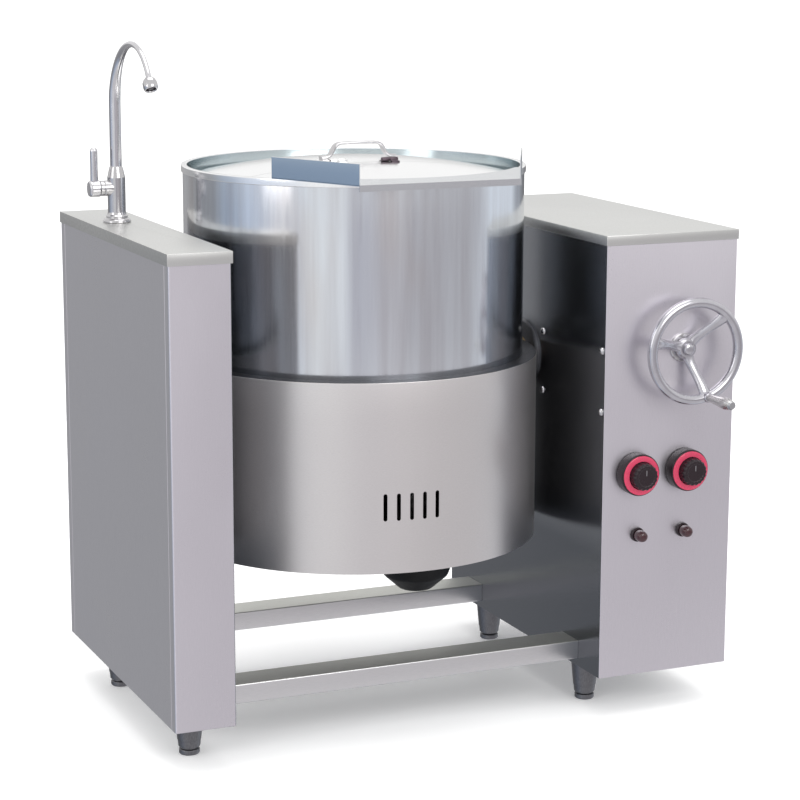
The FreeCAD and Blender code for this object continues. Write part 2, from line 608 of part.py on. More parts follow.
# Handwheel: its own Z points out of the control panel
def handwheel():
    ring = "(hand_radius - hand_tube)"
    rim = doc.addObject("Part::Torus", "HandRim")
    bind(rim, Radius1=ring, Radius2="hand_tube")
    place(rim, ("gear_x", "front_y - hand_offset", "worm_z"), TO_FRONT)
    hub = turned("HandHub", hand_spot, [
        ("worm_shaft_radius + fit_gap / 2", "hub_back"), ("hub_radius", "hub_back"),
        ("hub_radius", "hub_front - 3"), ("hub_radius - 3", "hub_front"),
        ("worm_shaft_radius + fit_gap / 2", "hub_front")], TO_FRONT)
    pieces = [rim, hub]
    for number in range(3):
        turn = TO_FRONT * Rotation(Vector(0, 0, 1), value("first_spoke") + 120 * number)
        pieces.append(padded(f"Spoke{number}", hand_spot, "XZ_Plane", [
            ("hub_radius - 5", "hub_back + 4", "0 - 2 * hand_radius"),
            (ring, "hand_offset - hand_tube * 0.6"), (ring, "hand_offset + hand_tube * 0.6",
                                                      "2 * hand_radius"),
            ("hub_radius - 5", "hub_front - 6")], "spoke_width", middle=True, turn=turn))
    pieces.append(turned("GripBoss", grip_spot("hand_offset"),
                         [("0", "0"), ("boss_radius", "0"), ("boss_radius", "boss_rise"),
                          ("0", "boss_rise")], TO_FRONT))
    return join("Handwheel", *pieces)


def grip_spot(out):
    ring = "(hand_radius - hand_tube)"
    return (f"gear_x + {ring} * cos(first_spoke)", f"front_y - {out}", f"worm_z + {ring} * sin(first_spoke)")


node("handwheel", handwheel())
node("handwheel_nut", turned("HandNut", hand_spot, [
    ("worm_shaft_radius + fit_gap / 2", "hub_front"), ("nut_radius", "hub_front"),
    ("nut_radius", "hub_front + nut_length - 3"), ("nut_radius - 5", "hub_front + nut_length"),
    ("0", "hub_front + nut_length"), ("0", "hub_front + nut_length - 4"),
    ("worm_shaft_radius + fit_gap / 2", "hub_front + nut_length - 4")], TO_FRONT))
grip_end = "boss_rise + 2 * side_gap + grip_length"
node("grip_spindle", turned("GripSpindle", grip_spot("hand_offset"), [
    ("0", "boss_rise"), ("spindle_radius", "boss_rise"), ("spindle_radius", grip_end),
    ("spindle_radius + 3", grip_end), ("spindle_radius + 1", grip_end + " + spindle_head"),
    ("0", grip_end + " + spindle_head")], TO_FRONT))
grip_start = "boss_rise + side_gap"
node("grip", turned("Grip", grip_spot("hand_offset"), [
    ("spindle_radius + run_gap", grip_start), ("grip_radius * 0.62", grip_start),
    ("grip_radius * 0.66", grip_start + " + 5", "0 - 1.6 * grip_length"),
    ("grip_radius", grip_start + " + grip_length * 0.68", "0 - 0.7 * grip_length"),
    ("grip_radius * 0.72", grip_start + " + grip_length"),
    ("spindle_radius + run_gap", grip_start + " + grip_length")], TO_FRONT))

# Kettle body
axis_spot = ("kettle_x", "kettle_y", "0")
pan_in = dish("pan_radius", "pan_crown", "pan_knuckle", "pan_floor")
pan_out = dish("(pan_radius + pan_wall)", "(pan_crown + pan_wall)", "(pan_knuckle + pan_wall)",
               "(pan_floor - pan_wall)")
node("pan_dish", turned("PanDish", axis_spot, [
    pan_out[0] + ("pan_crown + pan_wall",), pan_out[1] + ("pan_knuckle + pan_wall",), pan_out[2],
    pan_in[2] + ("0 - pan_knuckle",), pan_in[1] + ("0 - pan_crown",), pan_in[0]]))
wall_top = "seat_z - pan_wall"
node("pan_wall", turned("PanWall", axis_spot, [
    pan_out[2], ("pan_radius + pan_wall", wall_top), ("pan_radius", wall_top), pan_in[2]]))
node("pan_rim", turned("PanRim", axis_spot, [
    ("pan_radius", wall_top), ("pan_radius + pan_wall + seat_step", wall_top),
    ("pan_radius + pan_wall + seat_step", "rim_height - rim_wall"),
    ("casing_radius + fit_gap", "rim_height - rim_wall"),
    ("casing_radius + fit_gap", "rim_height - rim_bead"),
    ("casing_radius + fit_gap + rim_lip", "rim_height - rim_bead"),
    ("casing_radius + fit_gap + rim_lip", "rim_height - 1"),
    ("casing_radius + fit_gap + rim_lip - 1", "rim_height"), ("pan_radius + seat_step", "rim_height"),
    ("pan_radius + seat_step", "seat_z"), ("pan_radius", "seat_z")]))

jacket_in = dish("jacket_radius", "jacket_crown", "jacket_knuckle", "jacket_floor")
jacket_space = turned("JacketSpace", axis_spot, [
    jacket_in[0] + ("jacket_crown",), jacket_in[1] + ("jacket_knuckle",), jacket_in[2],
    ("jacket_radius", "jacket_top - jacket_wall"), ("0", "jacket_top - jacket_wall")])
pan_port = rod("PanPort", ("kettle_x", "kettle_y", "jacket_top - 2 * jacket_wall"),
               "pan_radius + pan_wall + fit_gap", "3 * jacket_wall")
sump_top = "jacket_floor + 40"
sump_spot = ("sump_x", "sump_y", "0")
sump_wall = turned("SumpWall", sump_spot, [
    ("0", "sump_floor"), ("sump_radius + sump_rim", "sump_floor"),
    ("sump_radius + sump_rim", "sump_floor + sump_rim_wall"),
    ("sump_radius + jacket_wall", "sump_floor + sump_rim_wall"), ("sump_radius + jacket_wall", sump_top),
    ("0", sump_top)])
sump_space = rod("SumpSpace", ("sump_x", "sump_y", "sump_floor - jacket_wall"), "sump_radius",
                 f"{sump_top} - sump_floor + 2 * jacket_wall")
jacket_solid = join("JacketSolid", jacket_form, sump_wall)
node("jacket_shell", cut("JacketShell", jacket_solid, jacket_space, sump_space, pan_port))

node("insulation", turned("Insulation", axis_spot, [
    ("pan_radius + pan_wall + wool_gap", "jacket_top"),
    ("casing_radius - casing_wall - wool_gap", "jacket_top"),
    ("casing_radius - casing_wall - wool_gap", "seat_z - pan_wall - wool_gap"),
    ("pan_radius + pan_wall + wool_gap", "seat_z - pan_wall - wool_gap")]))
node("upper_casing", turned("UpperCasing", axis_spot, [
    ("casing_radius - casing_wall", "jacket_top"), ("casing_radius", "jacket_top"),
    ("casing_radius", "rim_height - rim_wall"), ("casing_radius - casing_wall", "rim_height - rim_wall")]))

skirt_form = turned("SkirtForm", axis_spot, [
    ("skirt_radius - skirt_wall", "skirt_bottom"), ("skirt_radius", "skirt_bottom"),
    ("skirt_radius", "skirt_top - 2"), ("skirt_radius - 2", "skirt_top"),
    ("casing_radius + fit_gap", "skirt_top"), ("casing_radius + fit_gap", "skirt_top - skirt_wall"),
    ("skirt_radius - skirt_wall", "skirt_top - skirt_wall")])
skirt_tools = [rod("SkirtPort", ("kettle_x - skirt_radius - 5", "kettle_y", "trunnion_height"),
                   "trunnion_radius + 2", "2 * skirt_radius + 10", TO_X),
               rod("ValvePort", ("kettle_x", "kettle_y + skirt_radius - 10", "trunnion_height - valve_drop"),
                   "valve_pipe + 2", "20", TO_Y)]
for number in range(5):
    # Slots stand side by side round the skirt's front, rounded at both ends.
    half = "slot_width / 2"
    slot = padded(f"Slot{number}", ("kettle_x", "kettle_y", "slot_bottom"), "XZ_Plane", [
        ("0 - " + half, half, "slot_width * 0.52"), (half, half),
        (half, f"slot_length - {half}", "slot_width * 0.52"), ("0 - " + half, f"slot_length - {half}")],
        "skirt_radius + 5")
    turn = value("slot_centre") + (number - 2) * value("slot_pitch")
    slot.Placement = Placement(slot.Placement.Base, Rotation(Vector(0, 0, 1), turn))
    skirt_tools.append(slot)
node("lower_skirt", cut("LowerSkirt", skirt_form, *skirt_tools))

plate = turned("BottomDisc", axis_spot, [
    ("0", "plate_z"), ("skirt_radius - skirt_wall - fit_gap", "plate_z"),
    ("skirt_radius - skirt_wall - fit_gap", "plate_z + plate_wall"), ("0", "plate_z + plate_wall")])
plate_port = rod("PlatePort", ("sump_x", "sump_y", "plate_z - plate_wall"), "sump_radius + 2",
                 "3 * plate_wall")
node("bottom_plate", cut("BottomPlate", plate, plate_port))
node("element_flange", rod("ElementFlange", ("sump_x", "sump_y", "sump_floor - element_plate"),
                           "sump_radius + sump_rim", "element_plate"))


def hairpin(name, turn):
    # Two legs and a half ring above them, on a circle round the sump's axis.
    ring = doc.addObject("Part::Torus", name + "Bend")
    bind(ring, Radius1="hairpin_bend", Radius2="hairpin_radius")
    ring.Angle3 = 180
    ring.Placement = Placement(Vector(value("hairpin_circle"), 0, value("hairpin_height")),
                               Rotation(Vector(0, 0, 1), 90) * TO_FRONT)
    bind(ring, **{"Placement.Base.x": "hairpin_circle", "Placement.Base.z": "hairpin_height"})
    legs = [rod(f"{name}Leg{side}", ("hairpin_circle", f"{side} * hairpin_bend", "0"), "hairpin_radius",
                "hairpin_height") for side in ("-1", "1")]
    pin = join(name, ring, *legs)
    pin.Placement = Placement(Vector(), Rotation(Vector(0, 0, 1), turn))
    return place(pin, ("sump_x", "sump_y", "sump_floor"), Rotation(Vector(0, 0, 1), turn))


hairpins = round(value("hairpin_count"))
node("heating_elements", group("Elements", [
    hairpin(f"Hairpin{number}", number * 360 / hairpins + value("hairpin_turn"))
    for number in range(hairpins)]))

cover_z = "(plate_z - cover_depth)"
node("terminal_cover", turned("TerminalCover", sump_spot, [
    ("0", cover_z), ("cover_rim * 0.36", cover_z), ("cover_rim * 0.7", cover_z + " + cover_depth * 0.29"),
    ("cover_rim * 0.86", "plate_z - cover_wall"), ("cover_rim", "plate_z - cover_wall"),
    ("cover_rim", "plate_z"), ("cover_rim * 0.86 - cover_wall", "plate_z"),
    ("cover_rim * 0.7 - cover_wall", cover_z + " + cover_depth * 0.29"),
    ("cover_rim * 0.36 - 1", cover_z + " + cover_wall"), ("0", cover_z + " + cover_wall")]))

valve_z = "trunnion_height - valve_drop"
valve_pipe = rod("ValvePipe", ("kettle_x", "kettle_y + jacket_out - 3", valve_z), "valve_pipe",
                 "valve_reach - jacket_out + 3", TO_Y)
valve_seat = cut("ValveSeat", valve_pipe, jacket_form)
valve_body = turned("ValveBody", ("kettle_x", "kettle_y + valve_reach", valve_z), [
    ("0", "0 - valve_radius"), ("valve_radius", "0 - valve_radius"), ("valve_radius", "valve_height * 0.55"),
    ("valve_radius - 4", "valve_height * 0.62"), ("valve_radius - 4", "valve_height"),
    ("valve_cap / 2 + 2", "valve_height"), ("valve_cap / 2 + 2", "valve_height + valve_cap"),
    ("0", "valve_height + valve_cap")])
node("safety_valve", join("SafetyValve", valve_seat, valve_body))


def pouring_lip():
    # Open-fronted tray on the rim: a floor, a drip edge and two splayed walls.
    tip, root = "0 - lip_reach", "0 - lip_root_reach"
    spot = ("kettle_x + lip_shift", "kettle_y", "rim_height")
    floor = padded("LipFloor", spot, "XY_Plane", [("0 - lip_tip", tip), ("lip_tip", tip),
                                                  ("lip_root", root), ("0 - lip_root", root)], "lip_wall")
    hole = rod("LipHole", ("kettle_x", "kettle_y", "rim_height - lip_wall"),
               "pan_radius + seat_step", "3 * lip_wall")
    pieces = [cut("LipFloorHoled", floor, hole)]
    for name, side in (("Left", "0 - "), ("Right", "")):
        shift = " + lip_wall" if side else " - lip_wall"
        wall = padded(f"Lip{name}Wall", spot, "XY_Plane", [
            (f"{side}lip_tip", tip), (f"{side}lip_root", root), (f"{side}lip_root{shift}", root),
            (f"{side}lip_tip{shift}", tip)], "lip_rise")
        pieces.append(wall)
    pieces.append(block("LipDrip", ("kettle_x + lip_shift - lip_tip", "kettle_y - lip_reach",
                                    "rim_height - lip_drip"), "2 * lip_tip", "lip_wall", "lip_drip"))
    return join("PouringLip", *pieces)


node("pouring_lip", pouring_lip())

# Lid
lid_form = turned("LidForm", axis_spot, [
    ("0", "lid_top", "0 - lid_crown"), ("lid_radius", "seat_z + lid_edge"), ("lid_radius", "seat_z"),
    ("lid_radius - lid_wall", "seat_z"),
    ("lid_radius - lid_wall",
     "lid_centre_z + sqrt((lid_crown - lid_wall) ^ 2 - (lid_radius - lid_wall) ^ 2)", "lid_crown - lid_wall"),
    ("0", "lid_top - lid_wall")])
seam_y = "kettle_y - lid_seam"
lid_half = block("LidHalf", ("kettle_x - 2 * lid_radius", seam_y + " + seam_gap / 2 - 2 * lid_radius",
                             "seat_z - 10"), "4 * lid_radius", "2 * lid_radius", "lid_edge + lid_rise + 20")
flap_half = block("FlapHalf", ("kettle_x - 2 * lid_radius", seam_y + " - seam_gap / 2 - 2 * lid_radius",
                               "seat_z - 10"), "4 * lid_radius", "2 * lid_radius", "lid_edge + lid_rise + 20")
node("lid_main", cut("LidMain", lid_form, lid_half))
node("lid_flap", common("LidFlap", lid_form, flap_half))

handle_spot = ("kettle_x + handle_shift", "kettle_y", "lid_top")
half = "handle_width / 2"
bend = "handle_corner"
strap = "handle_strap"
handle = padded("HandleStrap", handle_spot, "XZ_Plane", [
    (f"0 - {half} - handle_foot", "0 - handle_strap / 2"), (f"0 - {half} + {strap}", "0 - handle_strap / 2"),
    (f"0 - {half} + {strap}", f"handle_height - {bend}", f"{strap} - {bend}"),
    (f"0 - {half} + {bend}", f"handle_height - {strap}"), (f"{half} - {bend}", f"handle_height - {strap}",
                                                          f"{strap} - {bend}"),
    (f"{half} - {strap}", f"handle_height - {bend}"), (f"{half} - {strap}", "0 - handle_strap / 2"),
    (f"{half} + handle_foot", "0 - handle_strap / 2"), (f"{half} + handle_foot", "handle_strap / 2"),
    (half, "handle_strap / 2"), (half, f"handle_height - {bend}", bend), (f"{half} - {bend}",
                                                                         "handle_height"),
    (f"0 - {half} + {bend}", "handle_height", bend), (f"0 - {half}", f"handle_height - {bend}"),
    (f"0 - {half}", "handle_strap / 2"), (f"0 - {half} - handle_foot", "handle_strap / 2")],
    "handle_depth", middle=True)
lid_ball = turned("LidBall", axis_spot, [
    ("0", "seat_z"), ("lid_radius", "seat_z"), ("lid_radius", "seat_z + lid_edge + fit_gap", "lid_crown"),
    ("0", "lid_top + fit_gap")])
node("lid_handle", cut("LidHandle", handle, lid_ball))


def hinge(name, along):
    # Two leaves seated on the dome, a knuckle on each and a pin, over the seam.
    half = "(hinge_length - side_gap) / 2"
    low = "hinge_z - hinge_lift - leaf_wall"
    leaves = []
    for side, start, leaf_y, root_y, gap in (
            ("Lid", "0 - hinge_length / 2", "seam_gap / 2", "seam_gap / 2", "fit_gap / 2"),
            ("Flap", "side_gap / 2", "0 - leaf_width", "0 - knuckle_radius", "run_gap")):
        label = name + side
        start = f"{along} + {start}"
        knuckle = rod(label + "Knuckle", (start, seam_y, "hinge_z"), "knuckle_radius", half, TO_X)
        leaf = block(label + "Leaf", (start, f"{seam_y} + {leaf_y}", low), half, "leaf_width - seam_gap / 2",
                     "2 * leaf_wall")
        root = block(label + "Root", (start, f"{seam_y} + {root_y}", low), half,
                     "knuckle_radius - seam_gap / 2", "hinge_lift + leaf_wall")
        bore = rod(label + "Bore", (f"{along} - hinge_length", seam_y, "hinge_z"), "hinge_pin + " + gap,
                   "2 * hinge_length", TO_X)
        leaves.append(cut(label, join(label, knuckle, leaf, root), bore, lid_ball))
    pin = rod(name + "Pin", (f"{along} - hinge_length / 2 - 1", seam_y, "hinge_z"), "hinge_pin",
              "hinge_length + 2", TO_X)
    return leaves + [pin]


left_hinge = hinge("LeftHinge", "kettle_x - hinge_left")
right_hinge = hinge("RightHinge", "kettle_x + hinge_right")
node("lid_hinge_leaves", group("LidLeaves", [left_hinge[0], right_hinge[0]]))
node("flap_hinge_leaves", group("FlapLeaves", [left_hinge[1], right_hinge[1]]))
node("lid_hinge_pins", group("LidPins", [left_hinge[2], right_hinge[2]]))

# Controls; each piece's own Z points out of the control panel
switches = []
bezels = []
lenses = []
for side, across, lamp_x in zip(("left", "right"), knob_xs, lamp_xs):
    spot = (across, "front_y", "knob_height")
    node(side + "_knob", turned(side + "Knob", spot, [
        ("switch_stem + run_gap", "knob_clear"), ("knob_radius - 2", "knob_clear"),
        ("knob_radius", "knob_clear + 3"), ("knob_radius", "knob_depth - ring_wall"),
        ("knob_radius - 2", "knob_depth - ring_wall + 1"),
        ("cap_radius", "knob_depth - ring_wall + 1"), ("cap_radius - 1", "knob_depth + knob_cap - 3"),
        ("cap_radius - 4", "knob_depth + knob_cap"), ("0", "knob_depth + knob_cap"),
        ("0", "knob_depth"), ("switch_stem + run_gap", "knob_depth")], TO_FRONT))
    node(side + "_knob_ring", turned(side + "KnobRing", spot, [
        ("cap_radius + fit_gap", "knob_depth - ring_wall + 1"),
        ("cap_radius + ring_band", "knob_depth - ring_wall + 1"),
        ("cap_radius + ring_band", "knob_depth - 1"), ("cap_radius + ring_band - 1", "knob_depth"),
        ("cap_radius + fit_gap", "knob_depth")], TO_FRONT))
    case = block(side + "SwitchCase", (f"{across} - switch_width / 2", "front_y + sheet_wall",
                                       "knob_height - switch_width / 2"), "switch_width", "switch_depth",
                 "switch_width")
    neck = rod(side + "SwitchNeck", (across, "front_y + sheet_wall", "knob_height"), "switch_neck",
               "sheet_wall", TO_FRONT)
    stem = rod(side + "SwitchStem", (across, "front_y + sheet_wall", "knob_height"), "switch_stem",
               "sheet_wall + knob_depth - side_gap", TO_FRONT)
    switches.append(join(side + "Switch", case, neck, stem))
    spot = (lamp_x, "front_y", "lamp_height")
    bezels.append(turned(side + "Bezel", spot, [
        ("0", "0 - lamp_tail"), ("lamp_tail_radius", "0 - lamp_tail"), ("lamp_tail_radius", "0"),
        ("lamp_radius", "0"), ("lamp_radius", "lamp_collar - 2"), ("lamp_radius - 1.5", "lamp_collar"),
        ("0", "lamp_collar")], TO_FRONT))
    lenses.append(turned(side + "Lens", spot, [
        ("0", "lamp_collar"), ("lens_radius", "lamp_collar"),
        ("lens_radius", "lamp_collar + lens_length - lens_radius", "lens_radius"),
        ("0", "lamp_collar + lens_length")], TO_FRONT))
node("switch_bodies", group("Switches", switches))
node("lamp_bezels", group("Bezels", bezels))
node("lamp_lenses", group("Lenses", lenses))

node("cable_gland", turned("CableGland", (gland_x, "rear_y", "gland_height"), [
    ("gland_bore", "0 - 4 * sheet_wall"), ("gland_bore + 2", "0 - 4 * sheet_wall"), ("gland_bore + 2", "0"),
    ("gland_radius", "0"), ("gland_radius", "gland_reach * 0.4"),
    ("gland_radius - 2", "gland_reach * 0.45"), ("gland_radius - 2.5", "gland_reach - 5"),
    ("gland_radius - 5", "gland_reach"), ("gland_bore", "gland_reach")], TO_Y))

# Faucet
tap_spot = ("tap_x", "tap_y", "left_height")
column = turned("TapColumn", tap_spot, [
    ("0", "0"), ("tap_flange", "0"), ("tap_flange", "tap_flange_wall - 3"),
    ("tap_flange - 3", "tap_flange_wall"), ("tap_radius", "tap_flange_wall"),
    ("tap_radius", "tap_height - tap_shoulder"), ("tube_radius + 2", "tap_height"), ("0", "tap_height")])
stub = rod("TapStub", ("tap_x", "tap_y", "stub_z"), "stub_radius - 1", "stub_reach", TO_LEFT)
socket = rod("TapSocket", ("tap_x", "tap_y", "tube_bottom"), "tube_radius + run_gap", "socket_depth + 5")
node("faucet_body", cut("FaucetBody", join("TapBody", column, stub), socket))
node("faucet_tail", turned("FaucetTail", tap_spot, [
    ("0", "0 - tail_length"), ("tail_radius - 1", "0 - tail_length"),
    ("tail_radius", "1 - tail_length"), ("tail_radius", "0 - sheet_wall - tail_nut_wall"),
    ("tail_nut", "0 - sheet_wall - tail_nut_wall"), ("tail_nut", "0 - sheet_wall"),
    ("tail_radius", "0 - sheet_wall"), ("tail_radius", "0"), ("0", "0")]))


def spout():
    # Upright tube that swivels in the body, then an arch towards the front.
    body = doc.addObject("PartDesign::Body", "Spout")
    path = body.newObject("Sketcher::SketchObject", "SpoutPath")
    plane = next(face for face in body.Origin.OriginFeatures if face.Role == "YZ_Plane")
    path.AttachmentSupport = [(plane, "")]
    path.MapMode = "FlatFace"
    low = value("tube_bottom + side_gap")
    centre = Vector(-value("arch_radius"), value("arch_z"), 0)
    path.addGeometry(Part.LineSegment(Vector(0, low, 0), Vector(0, centre.y, 0)))
    stop = 3.141592653589793 * (1 - value("arch_end") / 180)
    path.addGeometry(Part.ArcOfCircle(Part.Circle(centre, Vector(0, 0, 1), value("arch_radius")), 0, stop))
    path.addConstraint(Sketcher.Constraint("PointOnObject", 0, 1, -2))
    path.addConstraint(Sketcher.Constraint("Vertical", 0))
    path.addConstraint(Sketcher.Constraint("Tangent", 0, 2, 1, 1))
    for alias, constraint in (
            ("tube_bottom + side_gap", Sketcher.Constraint("DistanceY", -1, 1, 0, 1, low)),
            ("arch_z", Sketcher.Constraint("DistanceY", -1, 1, 0, 2, centre.y)),
            ("arch_radius", Sketcher.Constraint("Radius", 1, value("arch_radius"))),
            ("arch_z + arch_radius * sin(arch_end)",
             Sketcher.Constraint("DistanceY", -1, 1, 1, 2, value("arch_z + arch_radius * sin(arch_end)")))):
        row = path.addConstraint(constraint)
        path.setExpression(f"Constraints[{row}]", full(alias))
    ring = body.newObject("Sketcher::SketchObject", "SpoutSection")
    base = next(face for face in body.Origin.OriginFeatures if face.Role == "XY_Plane")
    ring.AttachmentSupport = [(base, "")]
    ring.MapMode = "FlatFace"
    for alias in ("tube_radius", "tube_bore"):
        number = ring.addGeometry(Part.Circle(Vector(), Vector(0, 0, 1), value(alias)))
        ring.addConstraint(Sketcher.Constraint("Coincident", number, 3, -1, 1))
        row = ring.addConstraint(Sketcher.Constraint("Radius", number, value(alias)))
        ring.setExpression(f"Constraints[{row}]", full(alias))
    ring.setExpression("AttachmentOffset.Base.z", full("tube_bottom + side_gap"))
    pipe = body.newObject("PartDesign::AdditivePipe", "SpoutPipe")
    pipe.Profile = ring
    pipe.Spine = (path, ["Edge1", "Edge2"])
    return place(body, ("tap_x", "tap_y", "0"))


node("faucet_spout", spout())
tip_y = "tap_y - arch_radius - arch_radius * cos(arch_end)"
tip_z = "arch_z + arch_radius * sin(arch_end)"
node("spout_nozzle", turned("SpoutNozzle", ("tap_x", tip_y, tip_z), [
    ("tube_radius + 2 * fit_gap", "-6"), ("nozzle_radius - 2", "-6"), ("nozzle_radius", "0"),
    ("nozzle_radius", "nozzle_length - 4"), ("nozzle_radius - 2", "nozzle_length"),
    ("tube_bore", "nozzle_length"), ("tube_bore", "0"), ("tube_radius + 2 * fit_gap", "0")],
    Rotation(Vector(1, 0, 0), 180 - value("arch_end"))))

hub_start = "stub_reach + side_gap"
lever_hub = turned("LeverHub", ("tap_x", "tap_y", "stub_z"), [
    ("0", hub_start), ("stub_radius", hub_start), ("stub_radius", "lever_reach - 2"),
    ("stub_radius - 2", "lever_reach"), ("0", "lever_reach")], TO_LEFT)
lever_arm = turned("LeverArm", ("tap_x - lever_reach + lever_inset", "tap_y", "stub_z"), [
    ("0", "0"), ("lever_radius", "0"), ("lever_radius - 0.5", "lever_length - 3"),
    ("lever_radius - 2", "lever_length"), ("0", "lever_length")])
node("faucet_lever", join("FaucetLever", lever_hub, lever_arm))

doc.recompute()
faulty = [item.Name for item in doc.Objects if {"Invalid", "Error"} & set(item.State)]
if faulty:
    raise SystemExit("failed objects: " + ", ".join(faulty))
for label, item in parts.items():
    if item.Shape.isNull() or not item.Shape.isValid() or not item.Shape.Solids:
        raise SystemExit("bad shape: " + label)

os.makedirs("parts", exist_ok=True)
for label, item in parts.items():
    item.Shape.exportStep(f"parts/{label}.step")
    print(label, len(item.Shape.Solids), round(item.Shape.Volume))
print(len(parts), "nodes")
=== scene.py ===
import math

import bmesh
import bpy
import numpy as np
from mathutils import Matrix, Vector


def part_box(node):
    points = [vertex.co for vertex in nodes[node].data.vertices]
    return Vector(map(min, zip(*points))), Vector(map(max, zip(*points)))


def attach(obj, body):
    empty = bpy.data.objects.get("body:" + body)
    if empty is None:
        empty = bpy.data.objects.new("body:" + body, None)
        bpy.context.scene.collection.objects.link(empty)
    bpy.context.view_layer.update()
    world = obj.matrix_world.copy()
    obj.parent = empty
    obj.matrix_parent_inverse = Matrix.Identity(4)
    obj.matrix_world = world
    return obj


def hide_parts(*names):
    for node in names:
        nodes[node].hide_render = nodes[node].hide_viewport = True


# Tilting jacketed kettle between two pedestals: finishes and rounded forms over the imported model.
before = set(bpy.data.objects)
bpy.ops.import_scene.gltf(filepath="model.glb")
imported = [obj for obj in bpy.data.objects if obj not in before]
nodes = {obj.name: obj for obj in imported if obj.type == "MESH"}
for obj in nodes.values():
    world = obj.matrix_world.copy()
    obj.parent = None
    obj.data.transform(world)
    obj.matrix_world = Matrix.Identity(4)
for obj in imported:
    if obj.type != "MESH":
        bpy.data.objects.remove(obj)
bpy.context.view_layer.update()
mm = 0.001
tau = 2 * math.pi

leftLow, leftHigh = (np.array(corner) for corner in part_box("left_shell"))
rightLow, rightHigh = (np.array(corner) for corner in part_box("right_shell"))
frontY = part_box("control_panel")[0].y
drumLow, drumHigh = (np.array(corner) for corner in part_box("upper_casing"))
kettleX, kettleY = (drumLow[:2] + drumHigh[:2]) / 2
drumRadius = (drumHigh[0] - drumLow[0]) / 2
kettleFoot = (kettleX, kettleY, 0.0)  # where the kettle's axis meets the floor


# How the shapes are made


def surface(name, grid, closeU=False, closeV=False, capStart=False, capEnd=False):
    # Grid of rows x columns x 3: neighbouring rows and columns share quads; caps fill an end row.
    rows, columns = grid.shape[:2]
    index = np.arange(rows * columns).reshape(rows, columns)
    down = np.roll(index, -1, 0) if closeU else index[1:]
    up = index if closeU else index[:-1]
    if closeV:
        quads = np.stack([up, np.roll(up, -1, 1), np.roll(down, -1, 1), down], -1)
    else:
        quads = np.stack([up[:, :-1], up[:, 1:], down[:, 1:], down[:, :-1]], -1)
    faces = quads.reshape(-1, 4).tolist()
    if capStart:
        faces.append(index[0][::-1].tolist())
    if capEnd:
        faces.append(index[-1].tolist())
    mesh = bpy.data.meshes.new(name)
    mesh.from_pydata(grid.reshape(-1, 3).tolist(), [], faces)
    mesh.validate()
    return finished(name, mesh)


def finished(name, mesh):
    # Mesh with its doubles merged and its faces turned outwards, as an object at the origin.
    work = bmesh.new()
    work.from_mesh(mesh)
    bmesh.ops.remove_doubles(work, verts=work.verts, dist=2e-6)
    bmesh.ops.recalc_face_normals(work, faces=work.faces)
    work.to_mesh(mesh)
    work.free()
    mesh.shade_smooth()
    piece = bpy.data.objects.new(name, mesh)
    bpy.context.scene.collection.objects.link(piece)
    return piece


def joined(name, pieces):
    # One piece out of several, each already in its place.
    bpy.ops.object.select_all(action="DESELECT")
    for piece in pieces:
        piece.select_set(True)
    bpy.context.view_layer.objects.active = pieces[0]
    bpy.ops.object.join()
    pieces[0].name = name
    pieces[0].data.name = name
    return pieces[0]


def sharpened(piece, degrees=35):
    # Smooth shading that keeps edges sharper than the angle.
    bpy.ops.object.select_all(action="DESELECT")
    piece.select_set(True)
    bpy.context.view_layer.objects.active = piece
    bpy.ops.object.shade_smooth_by_angle(angle=math.radians(degrees))
    return piece


def applied(piece):
    # All modifiers of the piece become mesh.
    bpy.ops.object.select_all(action="DESELECT")
    piece.select_set(True)
    bpy.context.view_layer.objects.active = piece
    for modifier in list(piece.modifiers):
        bpy.ops.object.modifier_apply(modifier=modifier.name)
    return piece


def thickened(piece, wall, offset=-1.0):
    # Sheet with a wall, grown inwards (-1) or outwards (1).
    sheet = piece.modifiers.new("Wall", "SOLIDIFY")
    sheet.thickness = wall
    sheet.offset = offset
    return applied(piece)


def bevelled(piece, width, segments=2, degrees=40):
    # Edges sharper than the angle are rounded.
    edge = piece.modifiers.new("Edges", "BEVEL")
    edge.width = width
    edge.segments = segments
    edge.limit_method = "ANGLE"
    edge.angle_limit = math.radians(degrees)
    return applied(piece)


def softened(node, name, width, segments=2, degrees=40):
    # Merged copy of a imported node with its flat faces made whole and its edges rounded.
    mesh = nodes[node].data.copy()
    work = bmesh.new()
    work.from_mesh(mesh)
    bmesh.ops.remove_doubles(work, verts=work.verts, dist=2e-6)
    bmesh.ops.dissolve_limit(work, angle_limit=math.radians(1), verts=work.verts, edges=work.edges)
    work.to_mesh(mesh)
    work.free()
    mesh.name = name
    piece = bpy.data.objects.new(name, mesh)
    bpy.context.scene.collection.objects.link(piece)
    mesh.shade_smooth()
    if width:
        bevelled(piece, width, segments, degrees)
    return sharpened(piece, 30)


def axisFrame(direction):
    # Two unit vectors across the direction.
    along = np.array(direction, float) / np.linalg.norm(direction)
    helper = np.array([0.0, 0.0, 1.0]) if abs(along[2]) < 0.9 else np.array([1.0, 0.0, 0.0])
    first = np.cross(helper, along)
    first /= np.linalg.norm(first)
    return first, np.cross(along, first), along


def roundedProfile(points, radius, steps=4):
    # Polyline whose inner corners are eased: each corner becomes a quadratic curve between two cut points.
    points = [np.array(p, float) for p in points]
    out = [points[0]]
    for before, corner, after in zip(points[:-2], points[1:-1], points[2:]):
        reach = min(radius, 0.45 * np.linalg.norm(before - corner), 0.45 * np.linalg.norm(after - corner))
        start = corner + (before - corner) / max(np.linalg.norm(before - corner), 1e-9) * reach
        end = corner + (after - corner) / max(np.linalg.norm(after - corner), 1e-9) * reach
        for t in np.linspace(0, 1, steps + 1):
            out.append((1 - t) ** 2 * start + 2 * t * (1 - t) * corner + t ** 2 * end)
    out.append(points[-1])
    return np.array(out)


